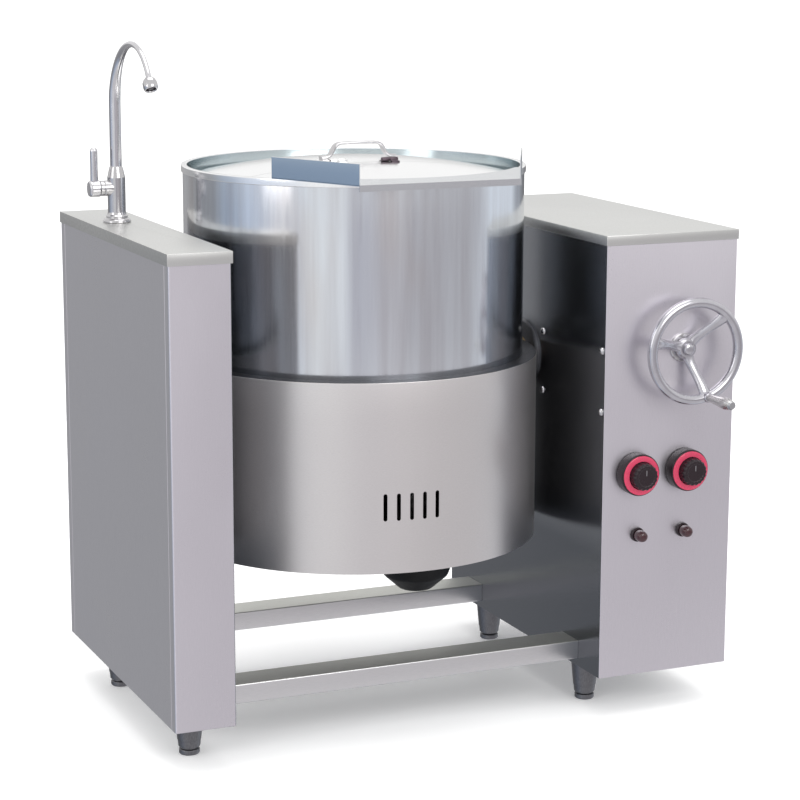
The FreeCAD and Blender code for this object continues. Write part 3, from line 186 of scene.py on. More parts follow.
def turnedPiece(name, profile, origin, direction=(0, 0, 1), count=64, ease=0.0, wave=None):
    # Profile (radius, height) carried round an axis: point = origin + r*(cos u, sin u) + h*axis.
    profile = np.array(profile, float)
    if ease:
        profile = roundedProfile(profile, ease)
    first, second, along = axisFrame(direction)
    angle = np.linspace(0, tau, count, endpoint=False)
    radius = profile[:, 0][:, None] * np.ones(count)
    if wave is not None:
        radius = wave(radius, profile[:, 1][:, None], angle)
    ring = np.cos(angle)[:, None] * first + np.sin(angle)[:, None] * second
    grid = np.array(origin) + radius[:, :, None] * ring + profile[:, 1][:, None, None] * along
    return surface(name, grid, closeV=True)


def sweptPiece(name, path, radii, count=28, section=None):
    # Section carried along a path with frames turned by the least twist: point = path + r*(cos u, sin u).
    path = np.array(path, float)
    tangent = np.gradient(path, axis=0)
    tangent /= np.linalg.norm(tangent, axis=1)[:, None]
    side = np.zeros_like(path)
    side[0] = axisFrame(tangent[0])[0]
    for step in range(1, len(path)):
        guess = side[step - 1] - tangent[step] * np.dot(side[step - 1], tangent[step])
        side[step] = guess / np.linalg.norm(guess)
    other = np.cross(tangent, side)
    if section is None:
        angle = np.linspace(0, tau, count, endpoint=False)
        section = np.stack([np.cos(angle), np.sin(angle)], -1)
    radii = np.broadcast_to(np.array(radii, float).reshape(-1, 1), (len(path), 1))
    grid = (path[:, None] + side[:, None] * (section[:, 0] * radii)[:, :, None]
            + other[:, None] * (section[:, 1] * radii)[:, :, None])
    return surface(name, grid, closeV=True, capStart=True, capEnd=True)


def roundedRectangle(width, height, radius, steps=5):
    # Corner arcs joined by straight sides, counter-clockwise about the centre.
    turns = np.linspace(0, math.pi / 2, steps + 1)
    corners = []
    for quarter, (sx, sy) in enumerate(((1, 1), (-1, 1), (-1, -1), (1, -1))):
        angle = turns + quarter * math.pi / 2
        corners.append(np.stack([sx * (width / 2 - radius) + radius * np.cos(angle),
                                 sy * (height / 2 - radius) + radius * np.sin(angle)], -1))
    return np.concatenate(corners)


def roundedBox(name, low, high, radius, axis=2, ends=None):
    # Rounded rectangle stacked along one axis; the end loops shrink along a quarter circle.
    ends = radius if ends is None else ends
    low, high = np.array(low, float), np.array(high, float)
    order = [(axis + 1) % 3, (axis + 2) % 3, axis]
    size = (high - low)[order]
    quarter = np.linspace(0, math.pi / 2, 5)
    inset = np.concatenate([ends * (1 - np.sin(quarter)), ends * (1 - np.sin(quarter[::-1]))])
    level = np.concatenate([ends * (1 - np.cos(quarter)), size[2] - ends * (1 - np.cos(quarter[::-1]))])
    loops = []
    for shrink, height in zip(inset, level):
        corner = max(radius * 1.001 - shrink, 1e-5)
        loop = roundedRectangle(size[0] - 2 * shrink, size[1] - 2 * shrink, corner)
        loops.append(np.column_stack([loop, np.full(len(loop), height)]))
    grid = np.array(loops)
    middle = (low + high)[order] / 2
    grid[:, :, 0] += middle[0]
    grid[:, :, 1] += middle[1]
    grid[:, :, 2] += low[axis]
    placed = np.empty_like(grid)
    for source, target in enumerate(order):
        placed[:, :, target] = grid[:, :, source]
    return sharpened(surface(name, placed, closeV=True, capStart=True, capEnd=True), 50)


# Finishes, all worked out on each piece's own coordinates


def newFinish(name, color, metallic, roughness, **sockets):
    # Base of every finish; further sockets are given by name with _ for a space.
    material = bpy.data.materials.new(name)
    material.use_nodes = True
    shader = material.node_tree.nodes["Principled BSDF"]
    shader.inputs["Base Color"].default_value = (*color, 1)
    shader.inputs["Metallic"].default_value = metallic
    shader.inputs["Roughness"].default_value = roughness
    for socket, amount in sockets.items():
        shader.inputs[socket.replace("_", " ")].default_value = amount
    return material


def add(material, kind, **values):
    # New shader node; a value goes to the input of that name or else to the setting.
    node = material.node_tree.nodes.new(kind)
    for key, amount in values.items():
        if key in node.inputs:
            node.inputs[key].default_value = amount
        else:
            setattr(node, key, amount)
    return node


def link(material, source, target):
    material.node_tree.links.new(source, target)


def grainNoise(material, stretch, scale, detail=3.0, centre=(0, 0, 0)):
    # Noise on the piece's own coordinates, drawn out along an axis by a small factor there.
    place = add(material, "ShaderNodeTexCoord")
    mapping = add(material, "ShaderNodeMapping")
    mapping.inputs["Scale"].default_value = stretch
    mapping.inputs["Location"].default_value = centre
    noise = add(material, "ShaderNodeTexNoise", Scale=scale, Detail=detail)
    link(material, place.outputs["Object"], mapping.inputs["Vector"])
    link(material, mapping.outputs["Vector"], noise.inputs["Vector"])
    return noise.outputs["Fac"]


def spread(material, source, low, high, start=0.3, end=0.7):
    # Noise value remapped to a range.
    node = add(material, "ShaderNodeMapRange")
    node.inputs["From Min"].default_value = start
    node.inputs["From Max"].default_value = end
    node.inputs["To Min"].default_value = low
    node.inputs["To Max"].default_value = high
    link(material, source, node.inputs["Value"])
    return node.outputs["Result"]


def mixed(material, factor, first, second, blend="MIX"):
    # Two tones mixed by a factor; each may be a socket or a fixed value.
    node = add(material, "ShaderNodeMix", data_type="RGBA", blend_type=blend)
    for socket, given in ((node.inputs[0], factor), (node.inputs[6], first), (node.inputs[7], second)):
        if hasattr(given, "links"):
            link(material, given, socket)
        else:
            socket.default_value = given if not isinstance(given, tuple) else (*given, 1)
    return node.outputs[2]


def shaderOf(material):
    return material.node_tree.nodes["Principled BSDF"]


def bumped(material, height, strength, distance=0.0004):
    # Relief from a height value.
    node = add(material, "ShaderNodeBump", Strength=strength, Distance=distance)
    link(material, height, node.inputs["Height"])
    link(material, node.outputs["Normal"], shaderOf(material).inputs["Normal"])


def steelFinish(name, color, darker, roughness, grain, grainScale=260, rough=0.05, bump=0.12, cloud=5.0):
    # Brushed sheet: drawn-out grain in tone, roughness and relief, and broad soft clouds of tone.
    material = newFinish(name, color, 1.0, roughness)
    shader = shaderOf(material)
    fine = grainNoise(material, grain, grainScale, 4.0)
    broad = grainNoise(material, (1, 1, 0.6), cloud, 3.0, (3.1, 1.7, 0.4))
    tone = mixed(material, spread(material, fine, 0.0, 1.0), color, darker)
    cloudTone = mixed(material, spread(material, broad, 0.0, 0.35, 0.35, 0.7), tone, darker)
    link(material, cloudTone, shader.inputs["Base Color"])
    total = add(material, "ShaderNodeMath", operation="ADD")
    link(material, spread(material, fine, roughness - rough, roughness + rough), total.inputs[0])
    link(material, spread(material, broad, -rough * 0.6, rough * 0.6), total.inputs[1])
    link(material, total.outputs[0], shader.inputs["Roughness"])
    bumped(material, fine, bump, 0.0003)
    return material


finishes = {
    "sideSheet": steelFinish("SideSheet", (0.70, 0.69, 0.72), (0.63, 0.62, 0.65), 0.34, (1, 14, 0.35)),
    # Front sheet: grain along the face, tone painted lighter and lilac, as if lit.
    "litFrontSheet": steelFinish("LitFrontSheet", (0.73, 0.70, 0.745), (0.66, 0.635, 0.68), 0.33, (14, 1, 0.35)),
    "topSheet": steelFinish("TopSheet", (0.63, 0.63, 0.615), (0.57, 0.57, 0.555), 0.36, (9, 0.4, 1)),
    # Rail tops: a darker, olive copy of the rail sheet, painted shade.
    "shadedRailTop": steelFinish("ShadedRailTop", (0.66, 0.66, 0.62), (0.57, 0.57, 0.54), 0.5, (0.3, 12, 12)),
    "railSheet": steelFinish("RailSheet", (0.74, 0.73, 0.74), (0.64, 0.635, 0.64), 0.34, (0.3, 12, 12)),
    "skirtSheet": steelFinish("SkirtSheet", (0.73, 0.705, 0.70), (0.65, 0.625, 0.62), 0.38, (1, 1, 14)),
    "lidSheet": steelFinish("LidSheet", (0.94, 0.94, 0.94), (0.87, 0.87, 0.87), 0.18, (9, 0.5, 1)),
    "lipSheet": steelFinish("LipSheet", (0.72, 0.73, 0.75), (0.62, 0.64, 0.66), 0.22, (0.6, 9, 4)),
    # Lip walls: a darker blue-grey copy of the lip sheet, painted shade.
    "shadedLipWall": steelFinish("ShadedLipWall", (0.46, 0.54, 0.62), (0.36, 0.44, 0.52), 0.22, (0.6, 9, 4)),
    # Recess walls: a darker bluish copy of the lid sheet, painted shade.
    "shadedRecessSheet": steelFinish("ShadedRecessSheet", (0.58, 0.65, 0.67), (0.44, 0.50, 0.52), 0.16, (1, 1, 14)),
    # Near-black sheet for the skirt's top ledge: a painted shadow line at the drum's foot.
    "shadedLedge": steelFinish("ShadedLedge", (0.12, 0.12, 0.13), (0.08, 0.08, 0.09), 0.45, (4, 4, 4), 120),
    "plainSteel": steelFinish("PlainSteel", (0.50, 0.50, 0.51), (0.40, 0.40, 0.41), 0.38, (4, 4, 4), 120),
    "footSteel": steelFinish("FootSteel", (0.20, 0.20, 0.21), (0.13, 0.13, 0.14), 0.42, (6, 6, 1), 160),
    "leafSteel": steelFinish("LeafSteel", (0.13, 0.10, 0.12), (0.09, 0.07, 0.08), 0.40, (4, 4, 4), 160),
    "castIron": steelFinish("CastIron", (0.16, 0.165, 0.17), (0.11, 0.11, 0.115), 0.62, (3, 3, 3), 90),
    "bronze": steelFinish("Bronze", (0.60, 0.44, 0.22), (0.46, 0.33, 0.16), 0.34, (4, 4, 4), 140),
}


def drumFinish():
    # Polished drum: upright bands of tone round the drum, warm patches and fine upright streaks; the bands
    # and warm patches stand partly for polish streaks and heat tint and partly for painted reflection of the
    # room.
    material = newFinish("PolishedDrum", (0.72, 0.73, 0.75), 1.0, 0.16)
    shader = shaderOf(material)
    streakAndReflection = grainNoise(material, (1, 1, 0.05), 42, 4.0, (0.4, 0.1, 0))
    fine = grainNoise(material, (1, 1, 0.03), 240, 3.0)
    heatTintAndReflection = grainNoise(material, (1, 1, 0.4), 6.5, 2.0, (1.2, 0.3, 0.8))
    # Bands of cooler and darker tone: partly polish streaks, partly painted reflection.
    cool = mixed(material, spread(material, streakAndReflection, 0.0, 1.0, 0.35, 0.65),
                 (0.70, 0.73, 0.77), (0.60, 0.61, 0.64))
    warm = mixed(material, spread(material, heatTintAndReflection, 0.0, 0.45, 0.5, 0.72), cool, (0.62, 0.56, 0.52))
    link(material, warm, shader.inputs["Base Color"])
    total = add(material, "ShaderNodeMath", operation="ADD")
    link(material, spread(material, fine, 0.11, 0.19), total.inputs[0])
    link(material, spread(material, streakAndReflection, -0.02, 0.03), total.inputs[1])
    link(material, total.outputs[0], shader.inputs["Roughness"])
    bumped(material, fine, 0.05, 0.0002)
    return material


def smoothFinish(name, color, metallic, roughness, wear=0.04, scale=60, **sockets):
    # Cast, plated or moulded surface: small unevenness in tone, gloss and relief.
    material = newFinish(name, color, metallic, roughness, **sockets)
    shader = shaderOf(material)
    fine = grainNoise(material, (1, 1, 1), scale, 4.0)
    dim = tuple(c * 0.82 for c in color)
    link(material, mixed(material, spread(material, fine, 0.0, 0.6), color, dim), shader.inputs["Base Color"])
    link(material, spread(material, fine, roughness - wear, roughness + wear), shader.inputs["Roughness"])
    bumped(material, fine, 0.08, 0.0003)
    return material


def shadedInnerFinish():
    # Sheet that faces the kettle, painted in shade: darker than the other sides, and darkest low down, below
    # the skirt.
    material = steelFinish("ShadedInnerSheet", (0.42, 0.43, 0.45), (0.35, 0.36, 0.38), 0.20, (1, 14, 0.35))
    shader = shaderOf(material)
    tone = shader.inputs["Base Color"].links[0].from_socket
    place = add(material, "ShaderNodeTexCoord")
    parts = add(material, "ShaderNodeSeparateXYZ")
    link(material, place.outputs["Object"], parts.inputs[0])
    # Below 0.30–0.40 m a near-black tone is mixed in: painted shade under the skirt.
    height = spread(material, parts.outputs[2], 0, 1, 0.30, 0.40)
    link(material, mixed(material, height, (0.16, 0.17, 0.19), tone), shader.inputs["Base Color"])
    return material


finishes["drum"] = drumFinish()
finishes["innerSheet"] = shadedInnerFinish()
finishes["castWheel"] = smoothFinish("CastWheel", (0.54, 0.53, 0.565), 1.0, 0.22, 0.06, 45)
finishes["chrome"] = smoothFinish("Chrome", (0.56, 0.55, 0.56), 1.0, 0.13, 0.03, 30)
finishes["brightChrome"] = smoothFinish("BrightChrome", (0.66, 0.65, 0.67), 1.0, 0.15, 0.03, 30)
finishes["grip"] = smoothFinish("GripMetal", (0.62, 0.61, 0.60), 1.0, 0.26, 0.05, 50)
finishes["blackPlastic"] = smoothFinish("BlackPlastic", (0.014, 0.007, 0.010), 0.0, 0.32, 0.06, 420,
                                        Specular_IOR_Level=0.35)
finishes["redRing"] = smoothFinish("RedRing", (0.50, 0.035, 0.09), 0.0, 0.22, 0.04, 300)
finishes["lampLens"] = smoothFinish("LampLens", (0.035, 0.008, 0.012), 0.0, 0.16, 0.03, 200,
                                    Coat_Weight=0.4)
finishes["blackEnamel"] = smoothFinish("BlackEnamel", (0.008, 0.008, 0.009), 0.0, 0.40, 0.08, 60,
                                       Specular_IOR_Level=0.15)
finishes["rubber"] = smoothFinish("PadRubber", (0.03, 0.03, 0.032), 0.0, 0.65, 0.06, 300)
finishes["wool"] = smoothFinish("Wool", (0.62, 0.53, 0.33), 0.0, 0.95, 0.03, 240)
finishes["pointer"] = smoothFinish("Pointer", (0.13, 0.12, 0.13), 0.0, 0.40, 0.04, 200)
finishes["brass"] = smoothFinish("Brass", (0.68, 0.50, 0.22), 1.0, 0.30, 0.05, 60)
print("finishes:", len(finishes))


def dress(piece, finish, body, slot, *replaced):
    # Finish and body of a piece, and the imported nodes that it stands for; the slot argument is not used.
    piece.data.materials.clear()
    piece.data.materials.append(finishes[finish])
    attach(piece, body)
    if replaced:
        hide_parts(*replaced)
    return piece


# Camera, in metres from the left pedestal's front corner on the floor.
view = {"place": (-1.1442, -3.5685, 1.3954), "aim": (0.4079, 0.0, 0.6189), "lens": 105.13, "roll": 0.16}


def makeCamera():
    # Camera that looks from its place to its aim, rolled a little.
    camera = bpy.data.objects.new("Camera", bpy.data.cameras.new("Camera"))
    bpy.context.scene.collection.objects.link(camera)
    corner = Vector((leftLow[0], frontY, 0))
    place = Vector(view["place"]) + corner
    aim = Vector(view["aim"]) + corner
    turn = (aim - place).to_track_quat("-Z", "Y").to_matrix().to_4x4()
    roll = Matrix.Rotation(math.radians(view["roll"]), 4, "Z")
    camera.matrix_world = Matrix.Translation(place) @ turn @ roll
    camera.data.lens = view["lens"]
    camera.data.sensor_width = 36
    camera.data.clip_end = 60
    bpy.context.scene.camera = camera


def areaLight(name, place, aim, size, power, color=(1, 1, 1)):
    # Soft rectangular light turned to its aim.
    lamp = bpy.data.lights.new(name, "AREA")
    lamp.shape = "RECTANGLE"
    lamp.size, lamp.size_y = size
    lamp.energy = power
    lamp.color = color
    item = bpy.data.objects.new(name, lamp)
    item.location = place
    item.rotation_euler = (Vector(aim) - Vector(place)).to_track_quat("-Z", "Y").to_euler()
    bpy.context.scene.collection.objects.link(item)


studio = {
    "floor": (0.93, 0.93, 0.93),
    "glow": 0.14,
    "sky": 1.3,
    # What polished sheet mirrors, by compass angle from the operator's side, right hand positive.
    "room": [(-180, (0.43, 0.43, 0.44)), (-132, (0.33, 0.34, 0.36)), (-114, (0.40, 0.46, 0.56)),
             (-92, (0.66, 0.73, 0.86)), (-62, (0.80, 0.84, 0.92)), (-50, (0.95, 0.97, 0.99)),
             (-30, (0.95, 0.96, 0.98)), (-22, (0.58, 0.57, 0.62)), (4, (0.66, 0.64, 0.67)),
             (18, (0.54, 0.52, 0.545)), (62, (0.56, 0.55, 0.575)), (80, (0.86, 0.90, 0.96)),
             (106, (0.84, 0.88, 0.94)), (118, (0.42, 0.44, 0.48)), (142, (0.18, 0.18, 0.19)),
             (180, (0.43, 0.43, 0.44))],
    "above": (1.0, 1.0, 1.0),
    "below": (0.80, 0.79, 0.81),
    "fade": (-0.03, 0.15),
    "ground": (-0.46, -0.22),
    "lights": [
        ("KeyFront", (0.6, -4.2, 3.0), (0, 0, 0.6), (2.6, 2.2), 60),
        ("SideFill", (-4.0, -1.2, 2.2), (0, 0, 0.6), (1.6, 2.6), 18),
        ("TopSoft", (0.0, 0.2, 4.2), (0, 0, 0.8), (3.0, 3.0), 50),
    ],
}


def roomTone(material):
    # Compass angle of a mirrored ray = atan2(x, -y), looked up in a ramp that gives way to white upwards.
    place = add(material, "ShaderNodeTexCoord")
    parts = add(material, "ShaderNodeSeparateXYZ")
    link(material, place.outputs["Generated"], parts.inputs[0])
    flip = add(material, "ShaderNodeMath", operation="MULTIPLY")
    flip.inputs[1].default_value = -1
    link(material, parts.outputs[1], flip.inputs[0])
    turn = add(material, "ShaderNodeMath", operation="ARCTAN2")
    link(material, parts.outputs[0], turn.inputs[0])
    link(material, flip.outputs[0], turn.inputs[1])
    share = spread(material, turn.outputs[0], 0, 1, -math.pi, math.pi)
    ramp = add(material, "ShaderNodeValToRGB")
    stops = ramp.color_ramp.elements
    while len(stops) > 1:
        stops.remove(stops[-1])
    for number, (angle, tone) in enumerate(studio["room"]):
        stop = stops[0] if number == 0 else stops.new((angle + 180) / 360)
        stop.position = (angle + 180) / 360
        stop.color = (*tone, 1)
    ramp.color_ramp.interpolation = "EASE"
    link(material, share, ramp.inputs["Fac"])
    ground = mixed(material, spread(material, parts.outputs[2], 0, 1, *studio["ground"]), studio["below"],
                   ramp.outputs["Color"])
    level = mixed(material, spread(material, flip.outputs[0], 0, 1, 0.0, 0.3), ramp.outputs["Color"], ground)
    return mixed(material, spread(material, parts.outputs[2], 0, 1, *studio["fade"]), level, studio["above"])


def makeStudio():
    # Lights, a white sky with the mirrored room in it, and a wide pale floor.
    scene = bpy.context.scene
    scene.view_settings.view_transform = "Standard"
    scene.view_settings.look = "None"
    for light in studio["lights"]:
        areaLight(*light)
    world = bpy.data.worlds.new("Studio")
    scene.world = world
    world.use_nodes = True
    sky = world.node_tree.nodes["Background"]
    sky.inputs["Strength"].default_value = 1.0
    path = add(world, "ShaderNodeLightPath")
    tone = mixed(world, path.outputs["Is Glossy Ray"], (studio["sky"],) * 3, roomTone(world))
    link(world, tone, sky.inputs["Color"])
    grid = np.array([[(x, y, 0.0) for x in np.linspace(-30, 30, 3)] for y in np.linspace(-30, 30, 3)])
    floor = surface("Floor", grid)
    floor.visible_glossy = False
    material = newFinish("FloorPaper", studio["floor"], 0.0, 0.8, Emission_Color=(1, 1, 1, 1),
                         Emission_Strength=studio["glow"])
    shader = shaderOf(material)
    noise = grainNoise(material, (1, 1, 1), 900, 2.0)
    pale = tuple(c * 0.985 for c in studio["floor"])
    link(material, mixed(material, noise, studio["floor"], pale), shader.inputs["Base Color"])
    floor.data.materials.append(material)


makeCamera()
makeStudio()
print("camera and studio ready")

shellSpec = {"wall": 2 * mm, "bend": 3.5 * mm, "seamInset": 22 * mm, "seamWidth": 1.6 * mm,
             "seamDepth": 0.9 * mm, "panelEdge": 0.8 * mm, "capEdge": 1.4 * mm, "innerBand": 4 * mm}


def bendPath(points, radius, steps=6):
    # Plan path whose corners are arcs of the bend radius (right angles only).
    out = [np.array(points[0], float)]
    for before, corner, after in zip(points[:-2], points[1:-1], points[2:]):
        before, corner, after = (np.array(p, float) for p in (before, corner, after))
        back = (before - corner) / np.linalg.norm(before - corner)
        ahead = (after - corner) / np.linalg.norm(after - corner)
        centre = corner + (back + ahead) * radius
        for t in np.linspace(0, math.pi / 2, steps + 1):
            out.append(centre - ahead * radius * math.cos(t) - back * radius * math.sin(t))
    out.append(np.array(points[-1], float))
    return np.array(out)


def foldedWall(name, plan, inward, low, high, wall, notches=()):
    # Plan path offset by the wall and raised from low to high with eased rims.
    plan = np.array(plan)
    ahead = np.gradient(plan, axis=0)
    ahead /= np.linalg.norm(ahead, axis=1)[:, None]
    across = np.column_stack([-ahead[:, 1], ahead[:, 0]]) * inward
    outer = plan.copy()
    for place, width, depth in notches:
        near = np.abs(plan[:, 1] - place) < width / 2 * 0.6
        outer[near & (np.abs(ahead[:, 1]) > 0.9)] += across[near & (np.abs(ahead[:, 1]) > 0.9)] * depth
    inner = plan + across * wall
    ease = 0.5 * mm
    section = [(0, low + ease), (0, high - ease), (0.25, high), (0.75, high), (1, high - ease),
               (1, low + ease), (0.75, low), (0.25, low)]
    rows = []
    for depth, height in section:
        flat = outer * (1 - depth) + inner * depth
        rows.append(np.column_stack([flat, np.full(len(flat), height)]))
    return sharpened(surface(name, np.array(rows), closeU=True), 35)


def withStops(path, stops, width):
    # Adds plan points at both sides of each groove on the runs that follow Y.
    out = []
    for a, b in zip(path[:-1], path[1:]):
        out.append(a)
        if abs(b[0] - a[0]) < 1e-6:
            marks = []
            for stop in stops:
                for shift in (-1.0, -0.5, 0.5, 1.0):
                    marks.append(stop + shift * width / 2 * (1.0 if abs(shift) > 0.9 else 0.9))
            inside = [m for m in marks if min(a[1], b[1]) < m < max(a[1], b[1])]
            for m in sorted(inside, reverse=bool(b[1] < a[1])):
                out.append(np.array([a[0], m]))
    out.append(path[-1])
    return np.array(out)


def pedestals():
    # Both wraps from their plans, the panels as rounded boxes, the caps as packed with softer edges.
    wall = shellSpec["wall"]
    bend = shellSpec["bend"]
    x0, x1 = leftLow[0], leftHigh[0]
    y0, y1 = leftLow[1], leftHigh[1]
    path = bendPath([(x0, y1), (x0, y0), (x1, y0), (x1, y1)], bend)
    stops = [y0 + shellSpec["seamInset"], y1 - shellSpec["seamInset"]]
    path = withStops(path, stops, shellSpec["seamWidth"])
    notches = [(stop, shellSpec["seamWidth"], shellSpec["seamDepth"]) for stop in stops]
    left = foldedWall("LeftShell", path, 1, leftLow[2], leftHigh[2], wall, notches)
    dress(left, "sideSheet", "base", "satin_sheet", "left_shell")
    paintLitFront(left)
    x0, x1 = rightLow[0], rightHigh[0]
    path = bendPath([(x0, rightLow[1]), (x0, y1), (x1, y1), (x1, rightLow[1])], bend)
    right = foldedWall("RightShell", path, -1, rightLow[2], rightHigh[2], wall)
    dress(right, "sideSheet", "base", "satin_sheet", "right_shell")
    for piece, edge, side in ((left, leftHigh[0], 1), (right, rightLow[0], -1)):
        # The sides that face the kettle take the sheet with painted shade.
        piece.data.materials.append(finishes["innerSheet"])
        centre, normal = faceData(piece)
        shadedSide = (np.abs(centre[:, 0] - edge) < shellSpec["innerBand"]) & (normal[:, 0] * side > 0.5)
        setFaces(piece, shadedSide, len(piece.data.materials) - 1)
    panel = roundedBox("ControlPanel", *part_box("control_panel"), shellSpec["panelEdge"], 1)
    dress(panel, "litFrontSheet", "base", "satin_sheet", "control_panel")
    back = roundedBox("LeftBack", *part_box("left_back_panel"), shellSpec["panelEdge"], 1)
    dress(back, "sideSheet", "base", "satin_sheet", "left_back_panel")
    for node, name in (("left_cap", "LeftCap"), ("right_cap", "RightCap")):
        dress(softened(node, name, shellSpec["capEdge"], 3), "topSheet", "base", "bright_sheet", node)


def faceData(piece):
    # Centres and normals of all faces.
    count = len(piece.data.polygons)
    centre = np.empty(count * 3)
    normal = np.empty(count * 3)
    piece.data.polygons.foreach_get("center", centre)
    piece.data.polygons.foreach_get("normal", normal)
    return centre.reshape(-1, 3), normal.reshape(-1, 3)


def setFaces(piece, chosen, slotNumber):
    # The chosen faces take the material of that slot.
    now = np.zeros(len(piece.data.polygons), np.int32)
    piece.data.polygons.foreach_get("material_index", now)
    now[chosen] = slotNumber
    piece.data.polygons.foreach_set("material_index", now)


def paintLitFront(piece):
    # Faces towards the operator take the front sheet: its grain runs along the face, and it is painted
    # lighter, as if lit.
    piece.data.materials.append(finishes["litFrontSheet"])
    centre, normal = faceData(piece)
    setFaces(piece, normal[:, 1] < -0.6, 1)


pedestals()
print("pedestals ready")

footSpec = {"ease": 1.0 * mm, "railCorner": 2.5 * mm, "railEnd": 0.4 * mm, "bore": 7.5 * mm,
            "toe": 19 * mm, "collar": 12 * mm, "shoulder": 25 * mm, "pad": 18 * mm, "padTop": 14 * mm,
            "stem": 7 * mm, "stemTop": 43.8 * mm}


def railsAndFeet():
    # Rails are rounded boxes, sleeves and pads are profiles turned about each foot.
    for node, name in (("front_rail", "FrontRail"), ("rear_rail", "RearRail")):
        low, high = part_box(node)
        rail = roundedBox(name, low, high, footSpec["railCorner"], 0, footSpec["railEnd"])
        dress(rail, "railSheet", "base", "satin_sheet", node)
        # Faces on top take the darker rail-top sheet: painted shade.
        rail.data.materials.append(finishes["shadedRailTop"])
        setFaces(rail, faceData(rail)[1][:, 2] > 0.5, 1)
    z0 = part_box("foot_sleeves")[0].z
    bore, toe, collar, shoulder, pad, padTop, stem, stemTop = (footSpec[key] for key in (
        "bore", "toe", "collar", "shoulder", "pad", "padTop", "stem", "stemTop"))
    sleeves = []
    pads = []
    for number, (x, y) in enumerate(footSpots()):
        z1 = leftLow[2] if x < kettleX else rightLow[2]
        sleeves.append(turnedPiece(f"Sleeve{number}", [
            (bore, z0), (toe, z0), (toe + 1.2 * mm, z0 + collar), (toe + 1.9 * mm, z0 + collar + 0.6 * mm),
            (shoulder, z1 - 5 * mm), (shoulder, z1), (bore, z1)], (x, y, 0), ease=footSpec["ease"]))
        pads.append(turnedPiece(f"Pad{number}", [
            (0, 0), (pad - 2 * mm, 0), (pad, 2 * mm), (pad, 9 * mm), (pad - 3.5 * mm, 11 * mm),
            (pad - 3.5 * mm, padTop), (stem, padTop), (stem, stemTop), (0, stemTop)], (x, y, 0),
            ease=footSpec["ease"]))
    dress(sharpened(joined("FootSleeves", sleeves)), "footSteel", "base", "foot_metal", "foot_sleeves")
    dress(sharpened(joined("FootPads", pads)), "footSteel", "base", "foot_metal", "foot_pads")


def footSpots():
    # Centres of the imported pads: vertices on the floor, gathered by nearness.
    co = np.empty(len(nodes["foot_pads"].data.vertices) * 3, np.float32)
    nodes["foot_pads"].data.vertices.foreach_get("co", co)
    flat = co.reshape(-1, 3)[:, :2]
    spots = []
    while len(flat):
        near = np.linalg.norm(flat - flat[0], axis=1) < 0.06
        group = flat[near]
        spots.append((group.min(0) + group.max(0)) / 2)
        flat = flat[~near]
    return spots


railsAndFeet()
print("rails and feet ready")

drumSpec = {"count": 360, "wall": 2 * mm}
panSpec = {"inner": 278 * mm, "step": 299 * mm, "seat": 28 * mm, "crown": 560 * mm, "knuckle": 80 * mm,
           "wall": 3 * mm, "rimWall": 2.5 * mm, "rimDrop": 12 * mm, "rimEase": 1.1 * mm}


def drumAndRim():
    # Drum and pan are closed profiles turned about the kettle's axis.
    low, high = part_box("upper_casing")
    radius = (high.x - low.x) / 2
    wall = drumSpec["wall"]
    drum = turnedPiece("Drum", [
        (radius - wall, low.z), (radius, low.z), (radius, high.z), (radius - wall, high.z),
        (radius - wall, low.z)], kettleFoot, count=drumSpec["count"], ease=0.3 * mm)
    dress(sharpened(drum), "drum", "kettle", "polished_drum", "upper_casing")
    panLow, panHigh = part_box("pan_rim")
    rim = (panHigh.x - panLow.x) / 2
    top = panHigh.z
    inner, step, thick = panSpec["inner"], panSpec["step"], panSpec["wall"]
    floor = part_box("pan_dish")[0].z + thick
    seat = top - panSpec["seat"]

    def dishCurve(radius, crown, knuckle, bottom, count=26):
        # Crown arc from the axis, then the knuckle arc up to the wall.
        reach = radius - knuckle
        drop = math.sqrt((crown - knuckle) ** 2 - reach ** 2)
        centre = bottom + crown
        limit = math.atan2(reach, drop)
        a = np.linspace(0, limit, count)
        crownPart = np.column_stack([crown * np.sin(a), centre - crown * np.cos(a)])
        b = np.linspace(limit, math.pi / 2, count // 2)
        knucklePart = np.column_stack([reach + knuckle * np.sin(b), centre - drop - knuckle * np.cos(b)])
        return np.concatenate([crownPart, knucklePart[1:]])

    crown, knuckle = panSpec["crown"], panSpec["knuckle"]
    inside = dishCurve(inner, crown, knuckle, floor)
    outside = dishCurve(inner + thick, crown + thick, knuckle + thick, floor - thick)
    hang = rim - panSpec["rimWall"]
    hem = top - panSpec["rimDrop"]
    rimPart = roundedProfile([
        (inner + thick, seat - thick), (step + thick, seat - thick), (step + thick, top - thick),
        (hang, top - thick), (hang, hem), (rim, hem), (rim, top), (step, top), (step, seat),
        (inner, seat)], panSpec["rimEase"], 4)
    profile = np.concatenate([outside, rimPart, inside[::-1]])
    pan = turnedPiece("Pan", profile, kettleFoot, count=drumSpec["count"])
    dress(sharpened(pan, 50), "lidSheet", "kettle", "bright_sheet", "pan_dish", "pan_wall", "pan_rim")
    # Upright walls of the rim's recess take the darker bluish sheet: painted shade.
    pan.data.materials.append(finishes["shadedRecessSheet"])
    centre, normal = faceData(pan)
    reach = np.linalg.norm(centre[:, :2] - np.array([kettleX, kettleY]), axis=1)
    setFaces(pan, (np.abs(normal[:, 2]) < 0.7) & (reach < step + 1 * mm) & (centre[:, 2] > seat), 1)


drumAndRim()

skirtSpec = {"wall": 2 * mm, "bend": 1.2 * mm, "columns": 330, "slots": 5, "slotWidth": 7 * mm,
             "slotBottom": 410 * mm, "slotLength": 48 * mm, "centre": -5.0, "pitch": 4.05}


